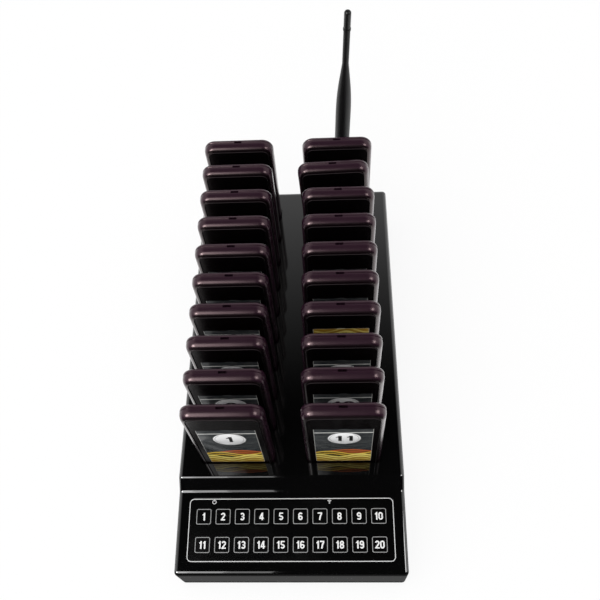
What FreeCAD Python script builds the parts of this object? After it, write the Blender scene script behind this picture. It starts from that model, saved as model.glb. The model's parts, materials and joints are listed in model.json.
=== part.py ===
import FreeCAD, Part
import math
import os
import Sketcher
from FreeCAD import Placement, Rotation, Vector

# A counter-top guest pager system: a charging base with a sloping twenty-key console, twenty handheld
# pagers that stand in slots in its deck, and a hinged whip antenna behind the right-hand row.
#
# Two local frames carry nearly every piece. The deck frame has its origin on the deck's surface, at the
# middle of the deck's front edge, with Y to the back and Z up. The console frame has its origin at the
# foot of the step below the deck, with Z square to the sloping console and Y up the slope.

doc = FreeCAD.newDocument("guest_pager_system")
sizes = doc.addObject("Spreadsheet::Sheet", "Sizes")

DRIVING_SIZES = (
    # the case
    ("case_width", 160.0),
    ("deck_length", 253.0),
    ("console_length", 64.2),
    ("case_height", 44.0),
    ("foot_height", 2.0),
    ("case_wall", 2.4),
    ("case_edge_radius", 3.0),
    ("step_run", 8.5),
    ("step_drop", 6.4),
    ("console_tilt", 6.0),
    ("nose_radius", 2.5),
    ("valley_radius", 4.0),
    ("tray_rim", 5.0),
    ("tray_floor", 2.4),
    ("tray_wall", 2.4),
    ("tray_edge_radius", 1.0),
    ("lip_height", 2.5),
    ("lip_thickness", 1.2),
    ("lip_clearance", 0.2),
    # the slots in the deck
    ("slots_per_row", 10),
    ("slot_pitch", 23.77),
    ("row_offset", 37.57),
    ("first_pager_y", 16.9),
    ("slot_depth", 14.0),
    ("slot_clearance", 0.5),
    ("slot_corner_radius", 3.0),
    ("slot_rim_width", 0.9),
    ("slot_rim_depth", 0.7),
    ("well_wall", 1.6),
    # a pager
    ("pager_width", 52.9),
    ("pager_height", 104.4),
    ("pager_front_depth", 6.8),
    ("pager_rear_depth", 3.2),
    ("pager_corner_radius", 8.5),
    ("pager_front_round", 5.0),
    ("pager_rear_round", 2.4),
    ("pager_wall", 1.6),
    ("pager_rear_wall", 1.2),
    ("panel_width", 46.3),
    ("panel_top_margin", 3.3),
    ("panel_bottom_margin", 5.0),
    ("panel_recess", 0.5),
    ("panel_corner_radius", 5.2),
    ("window_width", 38.6),
    ("window_height", 66.3),
    ("window_bottom", 14.8),
    ("window_corner_radius", 0.6),
    ("window_shelf", 0.8),
    ("window_cover_thickness", 0.8),
    ("label_thickness", 0.3),
    ("thumb_notch_radius", 2.75),
    ("thumb_notch_depth", 0.6),
    ("strap_notch_width", 5.0),
    ("strap_notch_height", 1.4),
    ("strap_notch_depth", 1.2),
    ("pager_board_clearance", 0.4),
    ("pager_board_thickness", 1.0),
    ("battery_width", 34.0),
    ("battery_height", 48.0),
    ("battery_thickness", 3.6),
    ("battery_bottom", 22.0),
    ("motor_radius", 4.0),
    ("motor_thickness", 2.8),
    ("motor_offset", 12.0),
    ("motor_bottom", 84.0),
    ("lamp_offset", 8.0),
    ("lamp_width", 3.0),
    ("lamp_height", 1.6),
    ("lamp_thickness", 1.4),
    ("lamp_bottom", 94.0),
    ("contact_offset", 10.0),
    ("contact_width", 5.0),
    ("contact_depth", 2.2),
    ("contact_thickness", 1.2),
    ("contact_recess", 0.6),
    ("leaning_pager", 19),
    ("leaning_pager_angle", 2.1),
    ("leaning_pager_shift", 0.2),
    ("leaning_pager_lift", 0.8),
    # charging pins and board
    ("pin_radius", 0.7),
    ("pin_hole_radius", 1.0),
    ("pin_stand_out", 0.5),
    ("charging_board_margin", 2.0),
    ("board_thickness", 1.6),
    ("charging_boss_radius", 3.5),
    # the console
    ("overlay_gap", 4.8),
    ("overlay_width", 143.9),
    ("overlay_length", 42.75),
    ("overlay_thickness", 0.6),
    ("overlay_corner_radius", 3.5),
    ("overlay_clearance", 0.15),
    ("keys_per_row", 10),
    ("key_rows", 2),
    ("key_pitch", 13.58),
    ("key_row_pitch", 18.82),
    ("first_key_row", 12.57),
    ("key_size", 10.7),
    ("key_corner_radius", 1.2),
    ("key_edge_round", 0.35),
    ("key_clearance", 0.15),
    ("key_stand_out", 0.2),
    ("key_flange_width", 0.8),
    ("key_flange_thickness", 0.8),
    ("key_plunger_radius", 1.6),
    ("key_plunger_length", 2.6),
    ("key_plunger_clearance", 0.1),
    ("switch_gap", 0.5),
    ("switch_size", 6.0),
    ("switch_height", 3.6),
    ("switch_bore_depth", 3.0),
    ("keypad_board_margin", 1.5),
    ("keypad_boss_radius", 2.5),
    # screws, bosses and feet
    ("case_screw_radius", 1.5),
    ("case_screw_length", 12.0),
    ("case_screw_head_radius", 2.9),
    ("case_screw_head_height", 2.0),
    ("board_screw_radius", 1.1),
    ("board_screw_length", 5.0),
    ("board_screw_head_radius", 1.9),
    ("board_screw_head_height", 1.4),
    ("screw_clearance", 0.1),
    ("pilot_spare", 0.5),
    ("screw_slot_width", 0.8),
    ("screw_slot_depth", 0.9),
    ("case_boss_radius", 4.0),
    ("case_boss_inset", 8.2),
    ("front_boss_y", -56.0),
    ("middle_boss_y", 118.0),
    ("rear_boss_y", 245.0),
    ("tray_boss_height", 4.0),
    ("tray_boss_radius", 5.0),
    ("counterbore_depth", 2.2),
    ("foot_radius", 6.0),
    ("foot_inset", 18.0),
    ("foot_edge_radius", 0.5),
    # the main board and what stands on it
    ("main_board_width", 124.0),
    ("main_board_length", 74.0),
    ("main_board_back_gap", 5.0),
    ("standoff_height", 3.6),
    ("standoff_radius", 3.0),
    ("standoff_inset", 5.0),
    ("radio_can_size", 22.0),
    ("radio_can_height", 3.5),
    ("controller_size", 12.0),
    ("controller_height", 1.6),
    ("capacitor_radius", 4.0),
    ("capacitor_height", 10.0),
    # rear wall fittings
    ("wall_opening_clearance", 0.15),
    ("inlet_x", -45.0),
    ("inlet_width", 9.0),
    ("inlet_height", 11.0),
    ("inlet_length", 14.0),
    ("inlet_bore_radius", 3.1),
    ("inlet_bore_depth", 9.5),
    ("inlet_pin_radius", 1.0),
    ("inlet_pin_length", 8.5),
    ("rocker_x", -5.0),
    ("rocker_depth_below_deck", 26.0),
    ("rocker_bezel_width", 21.0),
    ("rocker_bezel_height", 15.0),
    ("rocker_bezel_thickness", 1.5),
    ("rocker_body_width", 19.0),
    ("rocker_body_height", 12.6),
    ("rocker_body_depth", 12.0),
    ("rocker_radius", 8.4),
    ("rocker_height", 11.2),
    ("rocker_clearance", 0.2),
    ("rocker_pivot_depth", 1.0),
    ("rocker_face_height", 2.0),
    ("rocker_throw", 10.0),
    # the antenna
    ("antenna_x", 40.0),
    ("socket_depth_below_deck", 20.0),
    ("antenna_standoff", 16.0),
    ("antenna_lean", 1.9),
    ("socket_thread_radius", 3.175),
    ("socket_body_radius", 4.5),
    ("socket_body_length", 6.0),
    ("socket_reach", 7.5),
    ("socket_nut_width", 8.0),
    ("socket_nut_thickness", 2.2),
    ("coupling_gap", 0.3),
    ("coupling_radius", 5.2),
    ("coupling_end", 6.8),
    ("coupling_clearance", 0.08),
    ("knurl_count", 24),
    ("knurl_radius", 0.35),
    ("elbow_radius", 5.6),
    ("elbow_throat", 5.0),
    ("tongue_radius", 4.6),
    ("tongue_thickness", 4.0),
    ("tongue_clearance", 0.1),
    ("elbow_pin_radius", 1.25),
    ("elbow_pin_length", 10.3),
    ("elbow_pin_clearance", 0.05),
    ("sleeve_bottom", 6.4),
    ("sleeve_radius", 6.0),
    ("sleeve_edge_radius", 0.6),
    ("taper_start", 100.0),
    ("taper_blend_radius", 300.0),
    ("rod_bottom", 149.0),
    ("rod_radius", 2.45),
    ("rod_top", 178.6),
    ("collar_radius", 2.8),
    ("collar_height", 1.4),
    ("cap_radius", 2.5),
    ("cap_length", 14.5),
    ("cap_round", 2.2),
    ("spigot_radius", 1.2),
    ("spigot_length", 6.0),
    ("spigot_clearance", 0.05),
)

for row, (alias, number) in enumerate(DRIVING_SIZES, start=1):
    sizes.set(f"A{row}", alias.replace("_", " "))
    sizes.set(f"B{row}", str(number))
    sizes.setAlias(f"B{row}", alias)
doc.recompute()


def S(alias):
    """The expression that reads one driving size."""
    return f"Sizes.{alias}"


def value(expression):
    """The number that an expression has now, in millimetres or degrees."""
    return float(sizes.evalExpression(str(expression)))


def count(alias):
    """A driving size that counts copies."""
    return int(value(S(alias)))


# ---------------------------------------------------------------- places that several pieces share

DECK_Y = "((Sizes.console_length - Sizes.deck_length - Sizes.antenna_standoff - Sizes.sleeve_radius) / 2)"
DECK_Z = "(Sizes.foot_height + Sizes.case_height)"
TILT = "(Sizes.console_tilt * 1 deg)"
STEP_ANGLE = "(atan(Sizes.step_drop / Sizes.step_run))"

CASE_UNDERSIDE = "(-Sizes.case_height)"
CASE_SPLIT = "(Sizes.tray_rim - Sizes.case_height)"
TRAY_TOP_FACE = "(Sizes.tray_floor - Sizes.case_height)"

SLOT_CENTRE_Y = "(Sizes.first_pager_y + (Sizes.pager_rear_depth - Sizes.pager_front_depth) / 2)"
SLOT_HALF_WIDTH = "(Sizes.pager_width / 2 + Sizes.slot_clearance)"
SLOT_HALF_DEPTH = "((Sizes.pager_rear_depth + Sizes.pager_front_depth) / 2 + Sizes.slot_clearance)"
ROW_LENGTH = "((Sizes.slots_per_row - 1) * Sizes.slot_pitch)"
WELL_UNDERSIDE = "(-Sizes.slot_depth - Sizes.well_wall)"
CHARGING_BOARD_UNDERSIDE = "(-Sizes.slot_depth - Sizes.well_wall - Sizes.board_thickness)"

FIRST_ROW_Y = "(-Sizes.overlay_gap - Sizes.first_key_row)"
FIRST_KEY_X = "(-(Sizes.keys_per_row - 1) * Sizes.key_pitch / 2)"
ROW_SPAN = "((Sizes.keys_per_row - 1) * Sizes.key_pitch)"
ROWS_SPAN = "((Sizes.key_rows - 1) * Sizes.key_row_pitch)"
KEY_WINDOW = "(Sizes.key_size + 2 * Sizes.key_clearance)"
KEY_FLANGE_UNDERSIDE = "(-Sizes.case_wall - Sizes.key_flange_thickness)"
SWITCH_TOP = "(-Sizes.case_wall - Sizes.key_flange_thickness - Sizes.switch_gap)"
KEYPAD_BOARD_TOP = f"({SWITCH_TOP} - Sizes.switch_height)"
KEYPAD_BOARD_UNDERSIDE = f"({KEYPAD_BOARD_TOP} - Sizes.board_thickness)"

MAIN_BOARD_UNDERSIDE = f"({TRAY_TOP_FACE} + Sizes.standoff_height)"
MAIN_BOARD_TOP = f"({MAIN_BOARD_UNDERSIDE} + Sizes.board_thickness)"
MAIN_BOARD_BACK = "(Sizes.deck_length - Sizes.main_board_back_gap)"
INLET_CENTRE_Z = f"({MAIN_BOARD_TOP} + Sizes.inlet_height / 2)"

CAVITY_FRONT = (
    "(Sizes.pager_front_depth - Sizes.panel_recess - Sizes.window_cover_thickness"
    " - Sizes.label_thickness - Sizes.window_shelf)"
)
CAVITY_REAR = "(Sizes.pager_rear_depth - Sizes.pager_rear_wall)"
PAGER_BOARD_FACE = f"({CAVITY_REAR} - Sizes.pager_board_thickness)"


# ---------------------------------------------------------------- sketch helpers


def origin_plane(body, role):
    """One of a body's own origin planes."""
    return next(feature for feature in body.Origin.OriginFeatures if feature.Role == role)


def new_body(name):
    return doc.addObject("PartDesign::Body", name)


def new_sketch(body, name, role, offset="0"):
    """A sketch on a body's own origin plane, moved along the plane's normal."""
    sketch = body.newObject("Sketcher::SketchObject", name)
    sketch.AttachmentSupport = [(origin_plane(body, role), "")]
    sketch.MapMode = "FlatFace"
    sketch.setExpression(".AttachmentOffset.Base.z", offset)
    return sketch


def console_sketch(body, name, depth="0"):
    """A sketch on a plane parallel to the sloping console, below it by depth, in the deck frame."""
    sketch = body.newObject("Sketcher::SketchObject", name)
    sketch.AttachmentSupport = [(origin_plane(body, "XY_Plane"), "")]
    sketch.MapMode = "FlatFace"
    sketch.AttachmentOffset = Placement(Vector(), Rotation(Vector(1, 0, 0), 1.0))
    sketch.setExpression(".AttachmentOffset.Rotation.Angle", S("console_tilt"))
    sketch.setExpression(".AttachmentOffset.Base.y", f"-Sizes.step_run + {depth} * sin({TILT})")
    sketch.setExpression(".AttachmentOffset.Base.z", f"-Sizes.step_drop - {depth} * cos({TILT})")
    return sketch


def constrain(sketch, kind, references, expression):
    """Add one dimension to a sketch and bind it to an expression."""
    index = sketch.addConstraint(Sketcher.Constraint(kind, *references, value(expression)))
    sketch.setExpression(f"Constraints[{index}]", str(expression))


def pin_point(sketch, geometry, point, x, y):
    """Fix a point of the sketch at x and y."""
    constrain(sketch, "DistanceX", (-1, 1, geometry, point), x)
    constrain(sketch, "DistanceY", (-1, 1, geometry, point), y)


def add_polygon(sketch, corners):
    """A closed outline of straight lines through corners, each an (x, y) pair of expressions."""
    first = sketch.GeometryCount
    places = [Vector(value(x), value(y), 0) for x, y in corners]
    total = len(corners)
    for index in range(total):
        sketch.addGeometry(Part.LineSegment(places[index], places[(index + 1) % total]), False)
    for index in range(total):
        following = first + (index + 1) % total
        sketch.addConstraint(Sketcher.Constraint("Coincident", first + index, 2, following, 1))
    for index, (x, y) in enumerate(corners):
        pin_point(sketch, first + index, 1, x, y)


def add_rectangle(sketch, x, y, width, height):
    """A sharp rectangle centred on x and y."""
    low_x, high_x = f"({x}) - ({width}) / 2", f"({x}) + ({width}) / 2"
    low_y, high_y = f"({y}) - ({height}) / 2", f"({y}) + ({height}) / 2"
    add_polygon(sketch, [(low_x, low_y), (high_x, low_y), (high_x, high_y), (low_x, high_y)])


def add_rounded_rectangle(sketch, x, y, width, height, radius):
    """A rectangle with rounded corners, centred on x and y."""
    first = sketch.GeometryCount
    middle_x, middle_y, round_off = value(x), value(y), value(radius)
    half_x = value(width) / 2 - round_off
    half_y = value(height) / 2 - round_off
    turns = ((-1, -1, 180), (1, -1, 270), (1, 1, 0), (-1, 1, 90))
    for index, (side_x, side_y, start) in enumerate(turns):
        centre = Vector(middle_x + side_x * half_x, middle_y + side_y * half_y, 0)
        circle = Part.Circle(centre, Vector(0, 0, 1), round_off)
        begin = math.radians(start)
        sketch.addGeometry(Part.ArcOfCircle(circle, begin, begin + math.pi / 2), False)
        next_x, next_y, next_start = turns[(index + 1) % 4]
        corner = Vector(middle_x + next_x * half_x, middle_y + next_y * half_y, 0)
        outward = Vector(math.cos(math.radians(next_start)), math.sin(math.radians(next_start)), 0)
        line_start = centre + outward * round_off
        sketch.addGeometry(Part.LineSegment(line_start, corner + outward * round_off), False)
    for index in range(8):
        following = first + (index + 1) % 8
        sketch.addConstraint(Sketcher.Constraint("Tangent", first + index, 2, following, 1))
    for index, kind in ((1, "Horizontal"), (3, "Vertical"), (5, "Horizontal"), (7, "Vertical")):
        sketch.addConstraint(Sketcher.Constraint(kind, first + index))
    for index in (2, 4, 6):
        sketch.addConstraint(Sketcher.Constraint("Equal", first, first + index))
    constrain(sketch, "Radius", (first,), radius)
    reach_x, reach_y = f"(({width}) / 2 - {radius})", f"(({height}) / 2 - {radius})"
    pin_point(sketch, first, 3, f"({x}) - {reach_x}", f"({y}) - {reach_y}")
    pin_point(sketch, first + 4, 3, f"({x}) + {reach_x}", f"({y}) + {reach_y}")


def add_circle(sketch, x, y, radius):
    circle = Part.Circle(Vector(value(x), value(y), 0), Vector(0, 0, 1), value(radius))
    index = sketch.addGeometry(circle, False)
    constrain(sketch, "Radius", (index,), radius)
    pin_point(sketch, index, 3, x, y)


# ---------------------------------------------------------------- feature helpers


def pad(body, name, sketch, length, back=False, both_ways=False):
    """Grow material from a sketch along its normal, against it, or half each way."""
    feature = body.newObject("PartDesign::Pad", name)
    feature.Profile = sketch
    feature.setExpression("Length", length)
    feature.Reversed = back
    feature.SideType = "Symmetric" if both_ways else "One side"
    doc.recompute()
    return feature


def pocket(body, name, sketch, length, back=False, both_ways=False):
    """Cut from a sketch against its normal, or along it where back is set, and prove that it cut."""
    volume_before = body.Shape.Volume
    feature = body.newObject("PartDesign::Pocket", name)
    feature.Profile = sketch
    feature.setExpression("Length", length)
    feature.Reversed = back
    feature.SideType = "Symmetric" if both_ways else "One side"
    doc.recompute()
    if body.Shape.Volume >= volume_before:
        raise ValueError(f"{name} cut nothing from {body.Label}")
    return feature


def row_pattern(body, name, feature, direction, length, copies):
    """Repeat a feature in a straight row."""
    pattern = body.newObject("PartDesign::LinearPattern", name)
    pattern.Originals = [feature]
    pattern.Direction = direction
    pattern.setExpression("Length", length)
    pattern.setExpression("Occurrences", copies)
    body.Tip = pattern
    doc.recompute()
    return pattern


def grid_pattern(body, name, feature, first, second):
    """Repeat a feature in rows and columns: each way is (direction, length, copies)."""
    pattern = row_pattern(body, name, feature, *first)
    pattern.Direction2 = second[0]
    pattern.setExpression("Length2", second[1])
    pattern.setExpression("Occurrences2", second[2])
    pattern.Reversed2 = True
    doc.recompute()
    return pattern


def edge_names(feature, wanted):
    """The names of a feature's edges that pass the test."""
    return [f"Edge{number}" for number, edge in enumerate(feature.Shape.Edges, start=1) if wanted(edge)]


def round_edges(body, name, feature, wanted, radius):
    """Fillet the edges of a feature that pass the test."""
    fillet = body.newObject("PartDesign::Fillet", name)
    fillet.Base = (feature, edge_names(feature, wanted))
    fillet.setExpression("Radius", radius)
    doc.recompute()
    return fillet


def near(a, b, tolerance=1e-4):
    return abs(a - b) < tolerance


def edge_in_plane(axis, level):
    """A test for edges that lie wholly in one plane square to an axis."""
    return lambda edge: all(near(getattr(point, axis), level) for point in edge.discretize(5))


def straight_edge_through(axis, **place):
    """A test for straight edges along an axis that pass through the given coordinates."""

    def wanted(edge):
        start, end = edge.Vertexes[0].Point, edge.Vertexes[-1].Point
        along = (end - start).normalize() if (end - start).Length > 1e-6 else Vector()
        if not near(abs(getattr(along, axis)), 1.0):
            return False
        return all(near(getattr(start, name), level) for name, level in place.items())

    return wanted


# ---------------------------------------------------------------- primitive and assembly helpers


def bind(item, **expressions):
    """Bind an object's properties to expressions."""
    for name, expression in expressions.items():
        item.setExpression(name, str(expression))
    return item


def move(item, x="0", y="0", z="0"):
    """Bind an object's place to expressions."""
    item.setExpression("Placement.Base.x", str(x))
    item.setExpression("Placement.Base.y", str(y))
    item.setExpression("Placement.Base.z", str(z))
    return item


def box(name, x, y, z, length, width, height):
    """A box centred on x and y, that stands on z."""
    item = bind(doc.addObject("Part::Box", name), Length=length, Width=width, Height=height)
    return move(item, f"({x}) - ({length}) / 2", f"({y}) - ({width}) / 2", z)


def cylinder(name, x, y, z, radius, height, turn=None):
    """A cylinder that stands on its start point along Z, or along the axis that the turn gives it."""
    item = bind(doc.addObject("Part::Cylinder", name), Radius=radius, Height=height)
    if turn is not None:
        item.Placement = Placement(Vector(), turn)
    return move(item, x, y, z)


ALONG_Y = Rotation(Vector(1, 0, 0), -90)
ALONG_X = Rotation(Vector(0, 1, 0), 90)


def fuse(name, pieces):
    item = doc.addObject("Part::MultiFuse", name)
    item.Shapes = pieces
    return item


def cut(name, base, tools):
    item = doc.addObject("Part::Cut", name)
    item.Base = base
    item.Tool = tools[0] if len(tools) == 1 else fuse(f"{name}_tools", tools)
    return item


def group(name, pieces):
    """Separate solids that share one node."""
    item = doc.addObject("Part::Compound", name)
    item.Links = pieces
    return item


nodes = []


def node(item, name):
    """Register an object as a sub-part of the product."""
    item.Label = name
    nodes.append(item)
    return item


def in_deck_frame(item, name):
    return move(node(item, name), "0", DECK_Y, DECK_Z)


def console_place(x="0", y="0", z="0"):
    """Expressions for a point that is given in the console frame."""
    return (
        str(x),
        f"{DECK_Y} - Sizes.step_run + ({y}) * cos({TILT}) - ({z}) * sin({TILT})",
        f"{DECK_Z} - Sizes.step_drop + ({y}) * sin({TILT}) + ({z}) * cos({TILT})",
    )


def in_console_frame(item, name, x="0", y="0"):
    item.Placement = Placement(Vector(), Rotation(Vector(1, 0, 0), 1.0))
    item.setExpression("Placement.Rotation.Angle", S("console_tilt"))
    return move(node(item, name), *console_place(x, y))


# ---------------------------------------------------------------- upper case

CONSOLE_BOSS_COLUMNS = [f"Sizes.key_pitch * {step}" for step in (-4, -1, 1, 4)]
CONSOLE_BOSS_Y = f"({FIRST_ROW_Y} - Sizes.key_row_pitch / 2)"
CASE_BOSS_X = "(Sizes.case_width / 2 - Sizes.case_boss_inset)"
CASE_BOSS_ROWS = (S("front_boss_y"), S("middle_boss_y"), S("rear_boss_y"))
CHARGING_BOSS_ROWS = [f"{SLOT_CENTRE_Y} + {ROW_LENGTH} * {share}" for share in (0, 0.5, 1)]
CASE_BOSS_END = "(Sizes.tray_boss_height - Sizes.case_height)"


def case_outline(inset):
    """Side outline of the case above the split, in the YZ plane, moved inwards by inset."""
    front, back = f"(-Sizes.console_length + {inset})", f"(Sizes.deck_length - {inset})"
    slope = "(Sizes.step_drop / Sizes.step_run)"
    console_line = f"(-Sizes.step_drop + Sizes.step_run * tan({TILT}) - {inset} / cos({TILT}))"
    ramp_line = f"(-{inset} / cos({STEP_ANGLE}))"
    valley_y = f"(({console_line} - {ramp_line}) / ({slope} - tan({TILT})))"
    return [
        (front, CASE_SPLIT),
        (front, f"{console_line} + {front} * tan({TILT})"),
        (valley_y, f"{ramp_line} + {valley_y} * {slope}"),
        (f"((-{inset} - {ramp_line}) / {slope})", f"-{inset}"),
        (back, f"-{inset}"),
        (back, CASE_SPLIT),
    ]


def make_upper_case():
    body = new_body("upper_case_body")
    outline = new_sketch(body, "case_profile", "YZ_Plane")
    add_polygon(outline, case_outline("0"))
    block = pad(body, "case_block", outline, S("case_width"), both_ways=True)

    valley = straight_edge_through("x", y=-value(S("step_run")), z=-value(S("step_drop")))
    valley_round = round_edges(body, "valley_round", block, valley, S("valley_radius"))
    nose = straight_edge_through("x", y=0.0, z=0.0)
    nose_round = round_edges(body, "nose_round", valley_round, nose, S("nose_radius"))

    half_width, split = value(S("case_width")) / 2, value(CASE_SPLIT)
    front, back = -value(S("console_length")), value(S("deck_length"))

    def outer_edge(edge):
        """Upright corner edges, and every top edge along the sides, the front and the back."""
        points = edge.discretize(5)
        if all(near(point.z, split) for point in points):
            return False
        if all(near(abs(point.x), half_width) for point in points):
            return True
        return any(all(near(point.y, level) for point in points) for level in (front, back))

    rounded = round_edges(body, "case_edges", nose_round, outer_edge, S("case_edge_radius"))

    inside = new_sketch(body, "case_inside_profile", "YZ_Plane")
    add_polygon(inside, case_outline("Sizes.case_wall"))
    pocket(body, "case_inside", inside, "Sizes.case_width - 2 * Sizes.case_wall", both_ways=True)
    return body, rounded


def add_wells(body):
    """Twenty slots for the pagers, each a walled well below the deck with two pin holes in its floor."""

    def repeat_to_the_back(name, sketch, feature):
        row_pattern(body, name + "_rows", feature, (sketch, ["V_Axis"]), ROW_LENGTH, S("slots_per_row"))

    def two_rows(name, margin, radius_change, depth, cutting, start="0"):
        sketch = new_sketch(body, name + "_outline", "XY_Plane", start)
        for side in ("-", ""):
            add_rounded_rectangle(
                sketch,
                f"{side}Sizes.row_offset",
                SLOT_CENTRE_Y,
                f"2 * ({SLOT_HALF_WIDTH} + {margin})",
                f"2 * ({SLOT_HALF_DEPTH} + {margin})",
                f"(Sizes.slot_corner_radius + {radius_change})",
            )
        make = pocket if cutting else pad
        feature = make(body, name, sketch, depth, back=not cutting)
        repeat_to_the_back(name, sketch, feature)

    well_depth = "Sizes.slot_depth + Sizes.well_wall - Sizes.case_wall / 2"
    two_rows("well", S("well_wall"), S("well_wall"), well_depth, False, "-Sizes.case_wall / 2")
    two_rows("slot", "0", "0", S("slot_depth"), True)
    two_rows("slot_rim", S("slot_rim_width"), S("slot_rim_width"), S("slot_rim_depth"), True)

    holes = new_sketch(body, "pin_holes_outline", "XY_Plane", "-Sizes.slot_depth")
    for side in ("-", ""):
        for offset in ("-", "+"):
            add_circle(holes, f"{side}Sizes.row_offset {offset} Sizes.contact_offset", SLOT_CENTRE_Y,
                       S("pin_hole_radius"))
    drilled = pocket(body, "pin_holes", holes, "Sizes.well_wall + 1")
    repeat_to_the_back("pin_holes", holes, drilled)


def add_console_openings(body):
    """The shallow seat for the overlay, the key holes and the bosses that carry the keypad board."""
    seat = console_sketch(body, "overlay_seat_outline")
    add_rounded_rectangle(
        seat,
        "0",
        "-Sizes.overlay_gap - Sizes.overlay_length / 2",
        "Sizes.overlay_width + 2 * Sizes.overlay_clearance",
        "Sizes.overlay_length + 2 * Sizes.overlay_clearance",
        "(Sizes.overlay_corner_radius + Sizes.overlay_clearance)",
    )
    pocket(body, "overlay_seat", seat, S("overlay_thickness"))

    bosses = console_sketch(body, "keypad_bosses_outline", "(Sizes.case_wall / 2)")
    for column in CONSOLE_BOSS_COLUMNS:
        add_circle(bosses, column, CONSOLE_BOSS_Y, S("keypad_boss_radius"))
    pad(body, "keypad_bosses", bosses, f"-{KEYPAD_BOARD_TOP} - Sizes.case_wall / 2", back=True)

    pilots = console_sketch(body, "keypad_pilots_outline", f"(-{KEYPAD_BOARD_TOP})")
    for column in CONSOLE_BOSS_COLUMNS:
        add_circle(pilots, column, CONSOLE_BOSS_Y, "(Sizes.board_screw_radius + Sizes.screw_clearance)")
    pilot_depth = "Sizes.board_screw_length - Sizes.board_thickness + Sizes.pilot_spare"
    pocket(body, "keypad_pilots", pilots, pilot_depth, back=True)

    key_hole = console_sketch(body, "key_hole_outline")
    add_rounded_rectangle(
        key_hole,
        FIRST_KEY_X,
        FIRST_ROW_Y,
        KEY_WINDOW,
        KEY_WINDOW,
        "(Sizes.key_corner_radius + Sizes.key_clearance)",
    )
    hole = pocket(body, "key_hole", key_hole, "Sizes.case_wall + 0.5")
    grid_pattern(
        body,
        "key_holes",
        hole,
        ((key_hole, ["H_Axis"]), ROW_SPAN, S("keys_per_row")),
        ((key_hole, ["V_Axis"]), ROWS_SPAN, S("key_rows")),
    )


def add_case_bosses(body):
    """Screw bosses: six for the tray, three for the charging board."""
    embed = "Sizes.case_wall / 2"
    console_top = f"(-Sizes.step_drop + (Sizes.front_boss_y + Sizes.step_run) * tan({TILT}))"
    for name, rows, ceiling in (
        ("front_bosses", CASE_BOSS_ROWS[:1], console_top),
        ("deck_bosses", CASE_BOSS_ROWS[1:], "0"),
    ):
        sketch = new_sketch(body, name + "_outline", "XY_Plane", CASE_BOSS_END)
        for row_y in rows:
            for side in ("-", ""):
                add_circle(sketch, side + CASE_BOSS_X, row_y, S("case_boss_radius"))
        pad(body, name, sketch, f"{ceiling} - {embed} - {CASE_BOSS_END}")

    pilots = new_sketch(body, "case_pilots_outline", "XY_Plane", CASE_BOSS_END)
    for row_y in CASE_BOSS_ROWS:
        for side in ("-", ""):
            add_circle(pilots, side + CASE_BOSS_X, row_y, "(Sizes.case_screw_radius + Sizes.screw_clearance)")
    pocket(body, "case_pilots", pilots, S("case_screw_length"), back=True)

    posts = new_sketch(body, "charging_bosses_outline", "XY_Plane", WELL_UNDERSIDE)
    for row_y in CHARGING_BOSS_ROWS:
        add_circle(posts, "0", row_y, S("charging_boss_radius"))
    pad(body, "charging_bosses", posts, f"-{WELL_UNDERSIDE} - {embed}")

    post_pilots = new_sketch(body, "charging_pilots_outline", "XY_Plane", WELL_UNDERSIDE)
    for row_y in CHARGING_BOSS_ROWS:
        add_circle(post_pilots, "0", row_y, "(Sizes.board_screw_radius + Sizes.screw_clearance)")
    pocket(body, "charging_pilots", post_pilots, S("board_screw_length"), back=True)


def add_rear_openings(body):
    """Openings in the rear wall for the antenna socket, the rocker and the power inlet."""
    sketch = new_sketch(body, "rear_openings_outline", "XZ_Plane", "-Sizes.deck_length - 1")
    add_circle(sketch, S("antenna_x"), "-Sizes.socket_depth_below_deck",
               "Sizes.socket_thread_radius + Sizes.wall_opening_clearance")
    add_rectangle(sketch, S("rocker_x"), "-Sizes.rocker_depth_below_deck",
                  "Sizes.rocker_body_width + 2 * Sizes.wall_opening_clearance",
                  "Sizes.rocker_body_height + 2 * Sizes.wall_opening_clearance")
    add_rectangle(sketch, S("inlet_x"), INLET_CENTRE_Z,
                  "Sizes.inlet_width + 2 * Sizes.wall_opening_clearance",
                  "Sizes.inlet_height + 2 * Sizes.wall_opening_clearance")
    pocket(body, "rear_openings", sketch, "Sizes.case_wall + 2", back=True)


upper_case, _ = make_upper_case()
add_wells(upper_case)
add_console_openings(upper_case)
add_case_bosses(upper_case)
add_rear_openings(upper_case)
in_deck_frame(upper_case, "upper_case")


# ---------------------------------------------------------------- bottom tray

TRAY_CENTRE_Y = "((Sizes.deck_length - Sizes.console_length) / 2)"
CASE_LENGTH = "(Sizes.deck_length + Sizes.console_length)"
STANDOFF_X = "(Sizes.main_board_width / 2 - Sizes.standoff_inset)"
STANDOFF_ROWS = (
    f"({MAIN_BOARD_BACK} - Sizes.standoff_inset)",
    f"({MAIN_BOARD_BACK} - Sizes.main_board_length + Sizes.standoff_inset)",
)


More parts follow.
